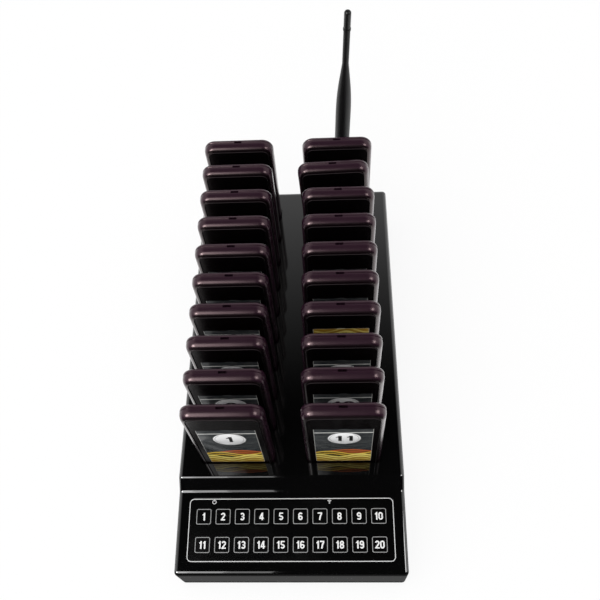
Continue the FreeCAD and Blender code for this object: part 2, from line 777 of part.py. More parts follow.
def make_bottom_tray():
    body = new_body("bottom_tray_body")
    outline = new_sketch(body, "tray_outline", "XY_Plane", CASE_UNDERSIDE)
    add_rounded_rectangle(outline, "0", TRAY_CENTRE_Y, S("case_width"), CASE_LENGTH, S("case_edge_radius"))
    slab = pad(body, "tray_slab", outline, S("tray_rim"))
    underside = edge_in_plane("z", value(CASE_UNDERSIDE))
    round_edges(body, "tray_edge", slab, underside, S("tray_edge_radius"))

    inside = new_sketch(body, "tray_inside_outline", "XY_Plane", CASE_SPLIT)
    add_rounded_rectangle(inside, "0", TRAY_CENTRE_Y, "Sizes.case_width - 2 * Sizes.tray_wall",
                          f"{CASE_LENGTH} - 2 * Sizes.tray_wall", "1")
    pocket(body, "tray_inside", inside, "Sizes.tray_rim - Sizes.tray_floor")

    lip = new_sketch(body, "tray_lip_outline", "XY_Plane", TRAY_TOP_FACE)
    for extra in ("0", S("lip_thickness")):
        inset = f"(Sizes.case_wall + Sizes.lip_clearance + {extra})"
        add_rounded_rectangle(lip, "0", TRAY_CENTRE_Y, f"Sizes.case_width - 2 * {inset}",
                              f"{CASE_LENGTH} - 2 * {inset}", "1")
    pad(body, "tray_lip", lip, f"{CASE_SPLIT} + Sizes.lip_height - {TRAY_TOP_FACE}")

    raised = (
        ("tray_bosses", [(side + CASE_BOSS_X, row) for row in CASE_BOSS_ROWS for side in ("-", "")],
         S("tray_boss_radius"), f"{CASE_BOSS_END} - {TRAY_TOP_FACE}"),
        ("standoffs", [(side + STANDOFF_X, row) for row in STANDOFF_ROWS for side in ("-", "")],
         S("standoff_radius"), S("standoff_height")),
    )
    for name, places, radius, height in raised:
        sketch = new_sketch(body, name + "_outline", "XY_Plane", TRAY_TOP_FACE)
        for x, y in places:
            add_circle(sketch, x, y, radius)
        pad(body, name, sketch, height)

    sunk = (
        ("screw_holes", raised[0][1], "(Sizes.case_screw_radius + 2 * Sizes.screw_clearance)",
         "Sizes.tray_boss_height + 1", CASE_UNDERSIDE),
        ("counterbores", raised[0][1], "(Sizes.case_screw_head_radius + 2 * Sizes.screw_clearance)",
         S("counterbore_depth"), CASE_UNDERSIDE),
        ("standoff_pilots", raised[1][1], "(Sizes.board_screw_radius + Sizes.screw_clearance)",
         S("standoff_height"), TRAY_TOP_FACE),
    )
    for name, places, radius, depth, start in sunk:
        sketch = new_sketch(body, name + "_outline", "XY_Plane", start)
        for x, y in places:
            add_circle(sketch, x, y, radius)
        pocket(body, name, sketch, depth, back=True)
    return body


in_deck_frame(make_bottom_tray(), "bottom_tray")


def make_feet():
    """Four rubber feet below the tray."""
    feet = []
    foot_rows = ("-Sizes.console_length + Sizes.foot_inset", "Sizes.deck_length - Sizes.foot_inset")
    for row_y in foot_rows:
        for side in ("-", ""):
            disc = cylinder("foot_disc", f"{side}(Sizes.case_width / 2 - Sizes.foot_inset)", row_y,
                            "-Sizes.case_height - Sizes.foot_height", S("foot_radius"), S("foot_height"))
            doc.recompute()
            lowest = -value(S("case_height")) - value(S("foot_height"))
            soft = doc.addObject("Part::Fillet", "foot")
            soft.Base = disc
            edge = edge_in_plane("z", lowest)
            radius = value(S("foot_edge_radius"))
            numbers = [number for number, item in enumerate(disc.Shape.Edges, start=1) if edge(item)]
            soft.Edges = [(number, radius, radius) for number in numbers]
            feet.append(soft)
    return group("feet", feet)


in_deck_frame(make_feet(), "rubber_feet")


# ---------------------------------------------------------------- console: overlay, keys, switches, board


def make_overlay():
    """A sheet with a window for each key, flush with the console."""
    body = new_body("keypad_overlay_body")
    outline = new_sketch(body, "overlay_outline", "XY_Plane", "-Sizes.overlay_thickness")
    add_rounded_rectangle(outline, "0", "-Sizes.overlay_gap - Sizes.overlay_length / 2", S("overlay_width"),
                          S("overlay_length"), S("overlay_corner_radius"))
    pad(body, "overlay_sheet", outline, S("overlay_thickness"))
    window = new_sketch(body, "overlay_window_outline", "XY_Plane")
    add_rounded_rectangle(window, FIRST_KEY_X, FIRST_ROW_Y, KEY_WINDOW, KEY_WINDOW,
                          "(Sizes.key_corner_radius + Sizes.key_clearance)")
    hole = pocket(body, "overlay_window", window, "Sizes.overlay_thickness + 1")
    grid_pattern(
        body,
        "overlay_windows",
        hole,
        ((window, ["H_Axis"]), ROW_SPAN, S("keys_per_row")),
        ((window, ["V_Axis"]), ROWS_SPAN, S("key_rows")),
    )
    return body


def make_key():
    """One key: a flat pad with a hidden flange that stops it, and the plunger below it."""
    body = new_body("key_pad_body")
    face = new_sketch(body, "key_face", "XY_Plane", "-Sizes.case_wall")
    add_rounded_rectangle(face, "0", "0", S("key_size"), S("key_size"), S("key_corner_radius"))
    top = pad(body, "key_top", face, "Sizes.case_wall + Sizes.key_stand_out")
    rim = edge_in_plane("z", value(S("key_stand_out")))
    round_edges(body, "key_top_round", top, rim, S("key_edge_round"))
    stop = new_sketch(body, "key_flange_outline", "XY_Plane", "-Sizes.case_wall")
    add_rounded_rectangle(stop, "0", "0", "Sizes.key_size + 2 * Sizes.key_flange_width",
                          "Sizes.key_size + 2 * Sizes.key_flange_width", S("key_corner_radius"))
    pad(body, "key_flange", stop, S("key_flange_thickness"), back=True)
    plunger = cylinder("key_plunger", "0", "0", f"{KEY_FLANGE_UNDERSIDE} - Sizes.key_plunger_length",
                       S("key_plunger_radius"), S("key_plunger_length"))
    return [body, plunger]


def make_switch():
    """One key switch: a square body with a bore for the plunger."""
    width = S("switch_size")
    block = box("switch_block", "0", "0", KEYPAD_BOARD_TOP, width, width, S("switch_height"))
    bore = cylinder("switch_bore", "0", "0", f"{SWITCH_TOP} - Sizes.switch_bore_depth",
                    "Sizes.key_plunger_radius + Sizes.key_plunger_clearance", "Sizes.switch_bore_depth + 1")
    return cut("switch_body", block, [bore])


def key_places():
    """The x and y expressions of every key in the console frame, row by row from the left."""
    for row in range(count("key_rows")):
        for column in range(count("keys_per_row")):
            x = f"{FIRST_KEY_X} + {column} * Sizes.key_pitch"
            yield x, f"{FIRST_ROW_Y} - {row} * Sizes.key_row_pitch"


def make_keypad_board():
    """The board that carries the switches, screwed to the console's bosses."""
    half_key = "(Sizes.switch_size / 2 + Sizes.keypad_board_margin + Sizes.key_flange_width)"
    board = box("keypad_board_sheet", "0", CONSOLE_BOSS_Y, KEYPAD_BOARD_UNDERSIDE,
                f"{ROW_SPAN} + 2 * {half_key}", f"{ROWS_SPAN} + 2 * {half_key}", S("board_thickness"))
    holes = [
        cylinder("keypad_board_hole", column, CONSOLE_BOSS_Y, f"{KEYPAD_BOARD_UNDERSIDE} - 1",
                 "Sizes.board_screw_radius + Sizes.screw_clearance", "Sizes.board_thickness + 2")
        for column in CONSOLE_BOSS_COLUMNS
    ]
    return cut("keypad_board_cut", board, holes)


in_console_frame(make_overlay(), "keypad_overlay")
key_pieces = make_key()
for number, (x, y) in enumerate(key_places(), start=1):
    in_console_frame(group("key", key_pieces), f"key_{number:02d}", x, y)
switch = make_switch()
in_console_frame(
    group("switches", [move(group("switch", [switch]), x, y) for x, y in key_places()]), "key_switches"
)
in_console_frame(make_keypad_board(), "keypad_board")


# ---------------------------------------------------------------- pagers


def add_pager_outline(sketch, inset):
    """A pager's outline seen from the front, moved inwards by inset."""
    add_rounded_rectangle(
        sketch,
        "0",
        "Sizes.pager_height / 2",
        f"Sizes.pager_width - 2 * {inset}",
        f"Sizes.pager_height - 2 * {inset}",
        f"(Sizes.pager_corner_radius - {inset})",
    )


def add_window_outline(sketch):
    """The outline that the window seat, the label card and the cover share."""
    centre_z = "Sizes.window_bottom + Sizes.window_height / 2"
    radius = S("window_corner_radius")
    add_rounded_rectangle(sketch, "0", centre_z, S("window_width"), S("window_height"), radius)


def front_shell():
    """The pager's front: a rounded shell with a recessed panel and a window seat for the label."""
    body = new_body("pager_front_body")
    outline = new_sketch(body, "front_outline", "XZ_Plane")
    add_pager_outline(outline, "0")
    block = pad(body, "front_block", outline, S("pager_front_depth"))
    face_edges = edge_in_plane("y", -value(S("pager_front_depth")))
    round_edges(body, "front_round", block, face_edges, S("pager_front_round"))

    inside = new_sketch(body, "front_inside_outline", "XZ_Plane")
    add_pager_outline(inside, S("pager_wall"))
    pocket(body, "front_inside", inside, CAVITY_FRONT, back=True)

    panel = new_sketch(body, "panel_outline", "XZ_Plane", S("pager_front_depth"))
    add_rounded_rectangle(
        panel,
        "0",
        "(Sizes.pager_height - Sizes.panel_top_margin + Sizes.panel_bottom_margin) / 2",
        S("panel_width"),
        "Sizes.pager_height - Sizes.panel_top_margin - Sizes.panel_bottom_margin",
        S("panel_corner_radius"),
    )
    pocket(body, "panel", panel, S("panel_recess"))

    panel_face = "Sizes.pager_front_depth - Sizes.panel_recess"
    window = new_sketch(body, "window_outline", "XZ_Plane", panel_face)
    add_window_outline(window)
    pocket(body, "window", window, "Sizes.window_cover_thickness + Sizes.label_thickness")

    thumb = new_sketch(body, "thumb_notch_outline", "XZ_Plane", panel_face)
    thumb_z = "Sizes.window_bottom + Sizes.window_height - Sizes.thumb_notch_radius / 2"
    add_circle(thumb, "0", thumb_z, S("thumb_notch_radius"))
    pocket(body, "thumb_notch", thumb, S("thumb_notch_depth"))

    strap = new_sketch(body, "strap_notch_outline", "XY_Plane", S("pager_height"))
    strap_y = "-Sizes.strap_notch_height / 2"
    add_rectangle(strap, "0", strap_y, S("strap_notch_width"), S("strap_notch_height"))
    pocket(body, "strap_notch", strap, S("strap_notch_depth"))

    contacts = new_sketch(body, "contact_holes_outline", "XY_Plane")
    for side in ("-", ""):
        contact_x = side + S("contact_offset")
        add_rectangle(contacts, contact_x, CONTACT_Y, S("contact_width"), S("contact_depth"))
    pocket(body, "contact_holes", contacts, S("pager_wall"), back=True)
    return body


CONTACT_Y = "((Sizes.pager_rear_depth - Sizes.pager_front_depth) / 2)"


def rear_shell():
    """The pager's back: a shallow shell that closes the front one."""
    body = new_body("pager_rear_body")
    outline = new_sketch(body, "rear_outline", "XZ_Plane")
    add_pager_outline(outline, "0")
    block = pad(body, "rear_block", outline, S("pager_rear_depth"), back=True)
    back_edges = edge_in_plane("y", value(S("pager_rear_depth")))
    round_edges(body, "rear_round", block, back_edges, S("pager_rear_round"))
    inside = new_sketch(body, "rear_inside_outline", "XZ_Plane")
    add_pager_outline(inside, S("pager_wall"))
    pocket(body, "rear_inside", inside, CAVITY_REAR)
    return body


def window_pieces():
    """The printed label card in its seat and the clear cover over it."""
    pieces = []
    card_face = "Sizes.pager_front_depth - Sizes.panel_recess - Sizes.window_cover_thickness"
    for name, face, thickness in (
        ("label_card", card_face, S("label_thickness")),
        ("window_cover", "Sizes.pager_front_depth - Sizes.panel_recess", S("window_cover_thickness")),
    ):
        body = new_body(name + "_body")
        outline = new_sketch(body, name + "_outline", "XZ_Plane", face)
        add_window_outline(outline)
        pad(body, name + "_sheet", outline, thickness, back=True)
        pieces.append(body)
    return pieces


def pager_works():
    """Board, battery, vibration motor, lamps and charging contacts."""
    board = new_body("pager_board_body")
    outline = new_sketch(board, "pager_board_outline", "XZ_Plane", f"-{PAGER_BOARD_FACE}")
    add_pager_outline(outline, "(Sizes.pager_wall + Sizes.pager_board_clearance)")
    pad(board, "pager_board_sheet", outline, S("pager_board_thickness"), back=True)
    battery = box("pager_battery", "0", f"{PAGER_BOARD_FACE} - Sizes.battery_thickness / 2",
                  S("battery_bottom"), S("battery_width"), S("battery_thickness"), S("battery_height"))
    motor = cylinder("pager_motor", S("motor_offset"), f"{PAGER_BOARD_FACE} - Sizes.motor_thickness",
                     S("motor_bottom"), S("motor_radius"), S("motor_thickness"), ALONG_Y)
    works = [board, battery, motor]
    for side in ("-", ""):
        works.append(box("pager_lamp", f"{side}Sizes.lamp_offset",
                         f"{PAGER_BOARD_FACE} - Sizes.lamp_thickness / 2", S("lamp_bottom"), S("lamp_width"),
                         S("lamp_thickness"), S("lamp_height")))
        post = box("contact_post", f"{side}Sizes.contact_offset", CONTACT_Y, S("contact_recess"),
                   S("contact_width"), S("contact_depth"),
                   "Sizes.pager_wall + Sizes.contact_thickness - Sizes.contact_recess")
        foot_front = f"({CONTACT_Y} - Sizes.contact_depth / 2)"
        foot = box("contact_foot", f"{side}Sizes.contact_offset", f"({foot_front} + {PAGER_BOARD_FACE}) / 2",
                   S("pager_wall"), S("contact_width"), f"{PAGER_BOARD_FACE} - {foot_front}",
                   S("contact_thickness"))
        works.append(fuse("pager_contact", [post, foot]))
    return works


pager_pieces = [front_shell(), rear_shell(), *window_pieces(), *pager_works()]
pager_number = 0
for row_side in ("-", ""):
    for slot in range(count("slots_per_row")):
        pager_number += 1
        pager = node(group("pager", pager_pieces), f"pager_{pager_number:02d}")
        shift, lift = "0", "0"
        if pager_number == count("leaning_pager"):
            shift, lift = S("leaning_pager_shift"), S("leaning_pager_lift")
            pager.Placement = Placement(Vector(), Rotation(Vector(0, -1, 0), 1.0))
            pager.setExpression("Placement.Rotation.Angle", S("leaning_pager_angle"))
        move(
            pager,
            f"{row_side}Sizes.row_offset + {shift}",
            f"{DECK_Y} + Sizes.first_pager_y + {slot} * Sizes.slot_pitch",
            f"{DECK_Z} - Sizes.slot_depth + {lift}",
        )


# ---------------------------------------------------------------- charging board and pins


def make_charging_board():
    """One board below both rows of wells, screwed to the three bosses between them."""
    half_width = f"(Sizes.row_offset + {SLOT_HALF_WIDTH} - Sizes.charging_board_margin)"
    half_length = f"({ROW_LENGTH} / 2 + {SLOT_HALF_DEPTH} + Sizes.well_wall)"
    board = box("charging_sheet", "0", f"{SLOT_CENTRE_Y} + {ROW_LENGTH} / 2", CHARGING_BOARD_UNDERSIDE,
                f"2 * {half_width}", f"2 * {half_length}", S("board_thickness"))
    holes = [
        cylinder("charging_hole", "0", row_y, f"{CHARGING_BOARD_UNDERSIDE} - 1",
                 "Sizes.board_screw_radius + Sizes.screw_clearance", "Sizes.board_thickness + 2")
        for row_y in CHARGING_BOSS_ROWS
    ]
    return cut("charging_board_cut", board, holes)


def make_charging_pins():
    """Two round pins for every slot, which stand on the board and reach just above the slot's floor."""
    pins = []
    for side in ("-", ""):
        for slot in range(count("slots_per_row")):
            for offset in ("-", "+"):
                pins.append(
                    cylinder("charging_pin", f"{side}Sizes.row_offset {offset} Sizes.contact_offset",
                             f"{SLOT_CENTRE_Y} + {slot} * Sizes.slot_pitch", WELL_UNDERSIDE, S("pin_radius"),
                             "Sizes.well_wall + Sizes.pin_stand_out")
                )
    return group("pins", pins)


in_deck_frame(make_charging_board(), "charging_board")
in_deck_frame(make_charging_pins(), "charging_pins")


# ---------------------------------------------------------------- main board, its components, power inlet


def make_main_board():
    board = box("main_sheet", "0", f"{MAIN_BOARD_BACK} - Sizes.main_board_length / 2", MAIN_BOARD_UNDERSIDE,
                S("main_board_width"), S("main_board_length"), S("board_thickness"))
    holes = [
        cylinder("main_hole", side + STANDOFF_X, row_y, f"{MAIN_BOARD_UNDERSIDE} - 1",
                 "Sizes.board_screw_radius + Sizes.screw_clearance", "Sizes.board_thickness + 2")
        for row_y in STANDOFF_ROWS
        for side in ("-", "")
    ]
    return cut("main_board_cut", board, holes)


def make_components():
    """The shielded radio, the controller and two capacitors on the main board."""
    middle_y = f"({MAIN_BOARD_BACK} - Sizes.main_board_length / 2)"
    radio = box("radio_can", "Sizes.antenna_x - Sizes.radio_can_size / 4", middle_y, MAIN_BOARD_TOP,
                S("radio_can_size"), S("radio_can_size"), S("radio_can_height"))
    controller = box("controller_chip", "0", middle_y, MAIN_BOARD_TOP, S("controller_size"),
                     S("controller_size"), S("controller_height"))
    capacitors = [
        cylinder("capacitor", f"{S('inlet_x')} + {step} * 2.6 * Sizes.capacitor_radius", middle_y,
                 MAIN_BOARD_TOP, S("capacitor_radius"), S("capacitor_height"))
        for step in (0, 1)
    ]
    return group("components", [radio, controller, *capacitors])


def make_inlet():
    """The power inlet: a block with a round mouth in the rear wall and a pin in the mouth."""
    mouth_y = "(Sizes.deck_length - Sizes.inlet_bore_depth)"
    block = box("inlet_block", S("inlet_x"), "Sizes.deck_length - Sizes.inlet_length / 2", MAIN_BOARD_TOP,
                S("inlet_width"), S("inlet_length"), S("inlet_height"))
    bore = cylinder("inlet_bore", S("inlet_x"), mouth_y, INLET_CENTRE_Z, S("inlet_bore_radius"),
                    "Sizes.inlet_bore_depth + 1", ALONG_Y)
    pin = cylinder("inlet_pin", S("inlet_x"), mouth_y, INLET_CENTRE_Z, S("inlet_pin_radius"),
                   S("inlet_pin_length"), ALONG_Y)
    return group("inlet", [cut("inlet_shell", block, [bore]), pin])


in_deck_frame(make_main_board(), "main_board")
in_deck_frame(make_components(), "board_components")
in_deck_frame(make_inlet(), "power_inlet")


# ---------------------------------------------------------------- power rocker

ROCKER_Y = "(Sizes.deck_length - Sizes.rocker_pivot_depth)"
ROCKER_Z = "(-Sizes.rocker_depth_below_deck)"


def make_rocker_housing():
    """A bezel against the rear wall, and a body behind it with a round cavity for the rocker."""
    bezel = box("rocker_bezel", S("rocker_x"), "Sizes.deck_length + Sizes.rocker_bezel_thickness / 2",
                f"{ROCKER_Z} - Sizes.rocker_bezel_height / 2", S("rocker_bezel_width"),
                S("rocker_bezel_thickness"), S("rocker_bezel_height"))
    body = box("rocker_body", S("rocker_x"), "Sizes.deck_length - Sizes.rocker_body_depth / 2",
               f"{ROCKER_Z} - Sizes.rocker_body_height / 2", S("rocker_body_width"), S("rocker_body_depth"),
               S("rocker_body_height"))
    cavity = cylinder("rocker_cavity", S("rocker_x"), ROCKER_Y,
                      f"{ROCKER_Z} - Sizes.rocker_height / 2 - Sizes.rocker_clearance",
                      "Sizes.rocker_radius + Sizes.rocker_clearance",
                      "Sizes.rocker_height + 2 * Sizes.rocker_clearance")
    return cut("rocker_housing_cut", fuse("rocker_shell", [bezel, body]), [cavity])


def make_rocker():
    """A barrel about an upright pivot, cut to a shallow V face that leans one way at rest."""
    body = new_body("rocker_paddle_body")
    reach = S("rocker_radius")
    slope = "tan(Sizes.rocker_throw * 1 deg)"
    face = new_sketch(body, "rocker_round", "XY_Plane", "-Sizes.rocker_height / 2")
    add_circle(face, "0", "0", reach)
    pad(body, "rocker_barrel", face, S("rocker_height"))
    outline = new_sketch(body, "rocker_face", "XY_Plane", "-Sizes.rocker_height / 2 - 1")
    tip = f"Sizes.rocker_face_height + 2 * {reach} * {slope}"
    add_polygon(
        outline,
        [("0", S("rocker_face_height")), (f"2 * {reach}", tip), (f"2 * {reach}", f"3 * {reach}"),
         (f"-2 * {reach}", f"3 * {reach}"), (f"-2 * {reach}", tip)],
    )
    pocket(body, "rocker_vee", outline, "Sizes.rocker_height + 2", back=True)
    body.Placement = Placement(Vector(), Rotation(Vector(0, 0, -1), 1.0))
    body.setExpression("Placement.Rotation.Angle", S("rocker_throw"))
    return body


in_deck_frame(make_rocker_housing(), "rocker_housing")
rocker = node(make_rocker(), "power_rocker")
move(rocker, S("rocker_x"), f"{DECK_Y} + {ROCKER_Y}", f"{DECK_Z} + {ROCKER_Z}")


# ---------------------------------------------------------------- antenna
# The antenna's own frame has its origin where the socket's axis meets the hinge pin. Y runs along the
# socket to the back, and Z along the whip, which leans to the right at rest.

SOCKET_Z = "(-Sizes.socket_depth_below_deck)"


def make_socket():
    """The threaded socket through the rear wall, and the nut that clamps it."""
    flange_y = "(Sizes.deck_length - Sizes.case_wall - Sizes.socket_body_length)"
    body = cylinder("socket_body", S("antenna_x"), flange_y, SOCKET_Z, S("socket_body_radius"),
                    S("socket_body_length"), ALONG_Y)
    barrel = cylinder("socket_barrel", S("antenna_x"), flange_y, SOCKET_Z, S("socket_thread_radius"),
                      "Sizes.socket_body_length + Sizes.case_wall + Sizes.socket_reach", ALONG_Y)
    nut = doc.addObject("Part::Prism", "socket_nut_blank")
    nut.Polygon = 6
    bind(nut, Circumradius="Sizes.socket_nut_width / 2 / cos(30 deg)", Height=S("socket_nut_thickness"))
    nut.Placement = Placement(Vector(), ALONG_Y)
    move(nut, S("antenna_x"), S("deck_length"), SOCKET_Z)
    bore = cylinder("socket_nut_bore", S("antenna_x"), "Sizes.deck_length - 1", SOCKET_Z,
                    S("socket_thread_radius"), "Sizes.socket_nut_thickness + 2", ALONG_Y)
    return group("socket", [fuse("socket_turned", [body, barrel]), cut("socket_nut", nut, [bore])])


def in_antenna_frame(item, name):
    item.Placement = Placement(Vector(), Rotation(Vector(0, 1, 0), 1.0))
    item.setExpression("Placement.Rotation.Angle", S("antenna_lean"))
    pivot_y = f"{DECK_Y} + Sizes.deck_length + Sizes.antenna_standoff"
    return move(node(item, name), S("antenna_x"), pivot_y, f"{DECK_Z} + {SOCKET_Z}")


def make_coupling_nut():
    """A knurled ring that turns on the socket's thread."""
    start = "(Sizes.socket_nut_thickness + Sizes.coupling_gap - Sizes.antenna_standoff)"
    body = new_body("coupling_nut_body")
    ring = new_sketch(body, "coupling_outline", "XZ_Plane", f"-{start}")
    add_circle(ring, "0", "0", S("coupling_radius"))
    add_circle(ring, "0", "0", "(Sizes.socket_thread_radius + Sizes.coupling_clearance)")
    pad(body, "coupling_ring", ring, f"-Sizes.coupling_end - {start}", back=True)
    groove = new_sketch(body, "knurl_outline", "XZ_Plane", f"-{start}")
    add_circle(groove, "0", S("coupling_radius"), S("knurl_radius"))
    first = pocket(body, "knurl", groove, f"-Sizes.coupling_end - {start}")
    pattern = body.newObject("PartDesign::PolarPattern", "knurls")
    pattern.Originals = [first]
    pattern.Axis = (groove, ["N_Axis"])
    pattern.Angle = 360
    pattern.setExpression("Occurrences", S("knurl_count"))
    body.Tip = pattern
    doc.recompute()
    return body


def make_elbow():
    """The fork that carries the whip: a neck against the coupling nut and two cheeks about the pin."""
    reach = S("elbow_radius")
    knuckle = cylinder("elbow_knuckle", f"-{reach}", "0", "0", reach, f"2 * {reach}", ALONG_X)
    neck = cylinder("elbow_neck", "0", "-Sizes.coupling_end", "0", reach, S("coupling_end"), ALONG_Y)
    blank = fuse("elbow_blank", [knuckle, neck])
    barrel = cylinder("elbow_barrel", "0", "-Sizes.coupling_end", "0", reach,
                      f"Sizes.coupling_end + 2 * {reach}", ALONG_Y)
    rounded = doc.addObject("Part::MultiCommon", "elbow_round")
    rounded.Shapes = [blank, barrel]
    throat = box("elbow_throat", "0", f"{reach} - Sizes.elbow_throat", f"-2 * {reach}",
                 "Sizes.tongue_thickness + 2 * Sizes.tongue_clearance", f"2 * {reach}", f"4 * {reach}")
    pin_bore = cylinder("elbow_bore", f"-{reach} - 1", "0", "0",
                        "Sizes.elbow_pin_radius + Sizes.elbow_pin_clearance", f"2 * {reach} + 2", ALONG_X)
    return cut("elbow_cut", rounded, [throat, pin_bore])


def make_elbow_pin():
    rod = cylinder("elbow_pin_rod", "-Sizes.elbow_pin_length / 2", "0", "0", S("elbow_pin_radius"),
                   S("elbow_pin_length"), ALONG_X)
    return group("elbow_pin_group", [rod])


def turn_about_z(body, name, sketch):
    """Turn an outline in the XZ plane once about Z."""
    turned = body.newObject("PartDesign::Revolution", name)
    turned.Profile = sketch
    turned.ReferenceAxis = (sketch, ["V_Axis"])
    turned.Angle = 360
    doc.recompute()
    return turned


def add_sleeve_outline(sketch):
    """Half of the sleeve: straight, then a long arc that runs tangent into a straight taper."""
    bottom, reach, start = (value(S(name)) for name in ("sleeve_bottom", "sleeve_radius", "taper_start"))
    bend, rod, end = (value(S(name)) for name in ("taper_blend_radius", "rod_radius", "rod_bottom"))
    turn = math.radians(5)
    arc_end = Vector(reach - bend * (1 - math.cos(turn)), start + bend * math.sin(turn), 0)
    circle = Part.Circle(Vector(reach - bend, start, 0), Vector(0, 0, 1), bend)
    sketch.addGeometry(Part.LineSegment(Vector(0, bottom, 0), Vector(reach, bottom, 0)), False)
    sketch.addGeometry(Part.LineSegment(Vector(reach, bottom, 0), Vector(reach, start, 0)), False)
    sketch.addGeometry(Part.ArcOfCircle(circle, 0, turn), False)
    sketch.addGeometry(Part.LineSegment(arc_end, Vector(rod, end, 0)), False)
    sketch.addGeometry(Part.LineSegment(Vector(rod, end, 0), Vector(0, end, 0)), False)
    sketch.addGeometry(Part.LineSegment(Vector(0, end, 0), Vector(0, bottom, 0)), False)
    for index in range(6):
        kind = "Tangent" if index == 2 else "Coincident"
        sketch.addConstraint(Sketcher.Constraint(kind, index, 2, (index + 1) % 6, 1))
    pin_point(sketch, 0, 1, "0", S("sleeve_bottom"))
    pin_point(sketch, 1, 1, S("sleeve_radius"), S("sleeve_bottom"))
    pin_point(sketch, 2, 1, S("sleeve_radius"), S("taper_start"))
    pin_point(sketch, 2, 3, "Sizes.sleeve_radius - Sizes.taper_blend_radius", S("taper_start"))
    pin_point(sketch, 3, 2, S("rod_radius"), S("rod_bottom"))
    pin_point(sketch, 5, 1, "0", S("rod_bottom"))


def make_whip():
    """A thick sleeve that tapers to a thin rod, with the tongue that the pin goes through."""
    body = new_body("antenna_whip_body")
    sleeve = new_sketch(body, "sleeve_profile", "XZ_Plane")
    add_sleeve_outline(sleeve)
    sleeve_turned = turn_about_z(body, "sleeve_turned", sleeve)
    bottom_edge = edge_in_plane("z", value(S("sleeve_bottom")))
    round_edges(body, "sleeve_edge", sleeve_turned, bottom_edge, S("sleeve_edge_radius"))

    rod = new_sketch(body, "rod_profile", "XZ_Plane")
    collar_top = "Sizes.rod_top + Sizes.collar_height"
    spigot_top = f"{collar_top} + Sizes.spigot_length"
    add_polygon(
        rod,
        [
            ("0", S("rod_bottom")),
            (S("rod_radius"), S("rod_bottom")),
            (S("rod_radius"), S("rod_top")),
            (S("collar_radius"), S("rod_top")),
            (S("collar_radius"), collar_top),
            (S("spigot_radius"), collar_top),
            (S("spigot_radius"), spigot_top),
            ("0", spigot_top),
        ],
    )
    turn_about_z(body, "rod_turned", rod)

    stem = new_sketch(body, "tongue_stem_outline", "YZ_Plane")
    add_rectangle(stem, "0", "(Sizes.sleeve_bottom + 0.5) / 2", "2 * Sizes.tongue_radius",
                  "Sizes.sleeve_bottom + 0.5")
    pad(body, "tongue_stem", stem, S("tongue_thickness"), both_ways=True)
    tongue = new_sketch(body, "tongue_outline", "YZ_Plane")
    add_circle(tongue, "0", "0", S("tongue_radius"))
    pad(body, "tongue_round", tongue, S("tongue_thickness"), both_ways=True)
    bore = new_sketch(body, "tongue_bore_outline", "YZ_Plane")
    add_circle(bore, "0", "0", "(Sizes.elbow_pin_radius + Sizes.elbow_pin_clearance)")
    pocket(body, "tongue_bore", bore, "Sizes.tongue_thickness + 2", both_ways=True)
    return body


def make_cap():
    """The rounded cap over the end of the rod."""
    body = new_body("antenna_cap_body")
    start = "(Sizes.rod_top + Sizes.collar_height)"
    outline = new_sketch(body, "cap_outline", "XY_Plane", start)
    add_circle(outline, "0", "0", S("cap_radius"))
    stick = pad(body, "cap_stick", outline, S("cap_length"))
    top_edge = edge_in_plane("z", value(f"{start} + Sizes.cap_length"))
    round_edges(body, "cap_top", stick, top_edge, S("cap_round"))
    bore = new_sketch(body, "cap_bore_outline", "XY_Plane", start)
    add_circle(bore, "0", "0", "(Sizes.spigot_radius + Sizes.spigot_clearance)")
    pocket(body, "cap_bore", bore, "Sizes.spigot_length + Sizes.spigot_clearance", back=True)
    return body


in_deck_frame(make_socket(), "antenna_socket")
in_antenna_frame(make_coupling_nut(), "coupling_nut")
in_antenna_frame(make_elbow(), "antenna_elbow")
in_antenna_frame(make_elbow_pin(), "elbow_pin")
in_antenna_frame(make_whip(), "antenna_whip")
in_antenna_frame(make_cap(), "antenna_cap")


# ---------------------------------------------------------------- screws


def make_screw(name, kind):
    """A pan-head screw that points up, with its head's seat at z = 0 and a crossed recess below."""
    head = cylinder(f"{name}_head", "0", "0", f"-Sizes.{kind}_head_height", S(f"{kind}_head_radius"),
                    S(f"{kind}_head_height"))
    shank = cylinder(f"{name}_shank", "0", "0", "0", S(f"{kind}_radius"), S(f"{kind}_length"))
    reach = f"1.3 * Sizes.{kind}_head_radius"
    recesses = [
        box(f"{name}_recess", "0", "0", f"-Sizes.{kind}_head_height - 1", length, width,
            "Sizes.screw_slot_depth + 1")
        for length, width in ((reach, S("screw_slot_width")), (S("screw_slot_width"), reach))
    ]
    return cut(name, fuse(f"{name}_blank", [head, shank]), recesses)


def place_screw(screw, x, y, z, console=False):
    """One copy of a screw at a point of the deck frame, or of the console frame."""
    copy = group("placed_screw", [screw])
    if not console:
        return move(copy, x, f"{DECK_Y} + {y}", f"{DECK_Z} + {z}")
    copy.Placement = Placement(Vector(), Rotation(Vector(1, 0, 0), 1.0))
    copy.setExpression("Placement.Rotation.Angle", S("console_tilt"))
    return move(copy, *console_place(x, y, z))


def place_board_screw_from_above(screw, x, y, z):
    """A board screw that points down into a standoff."""
    copy = group("placed_screw", [screw])
    copy.Placement = Placement(Vector(), Rotation(Vector(1, 0, 0), 180))
    return move(copy, x, f"{DECK_Y} + {y}", f"{DECK_Z} + {z}")


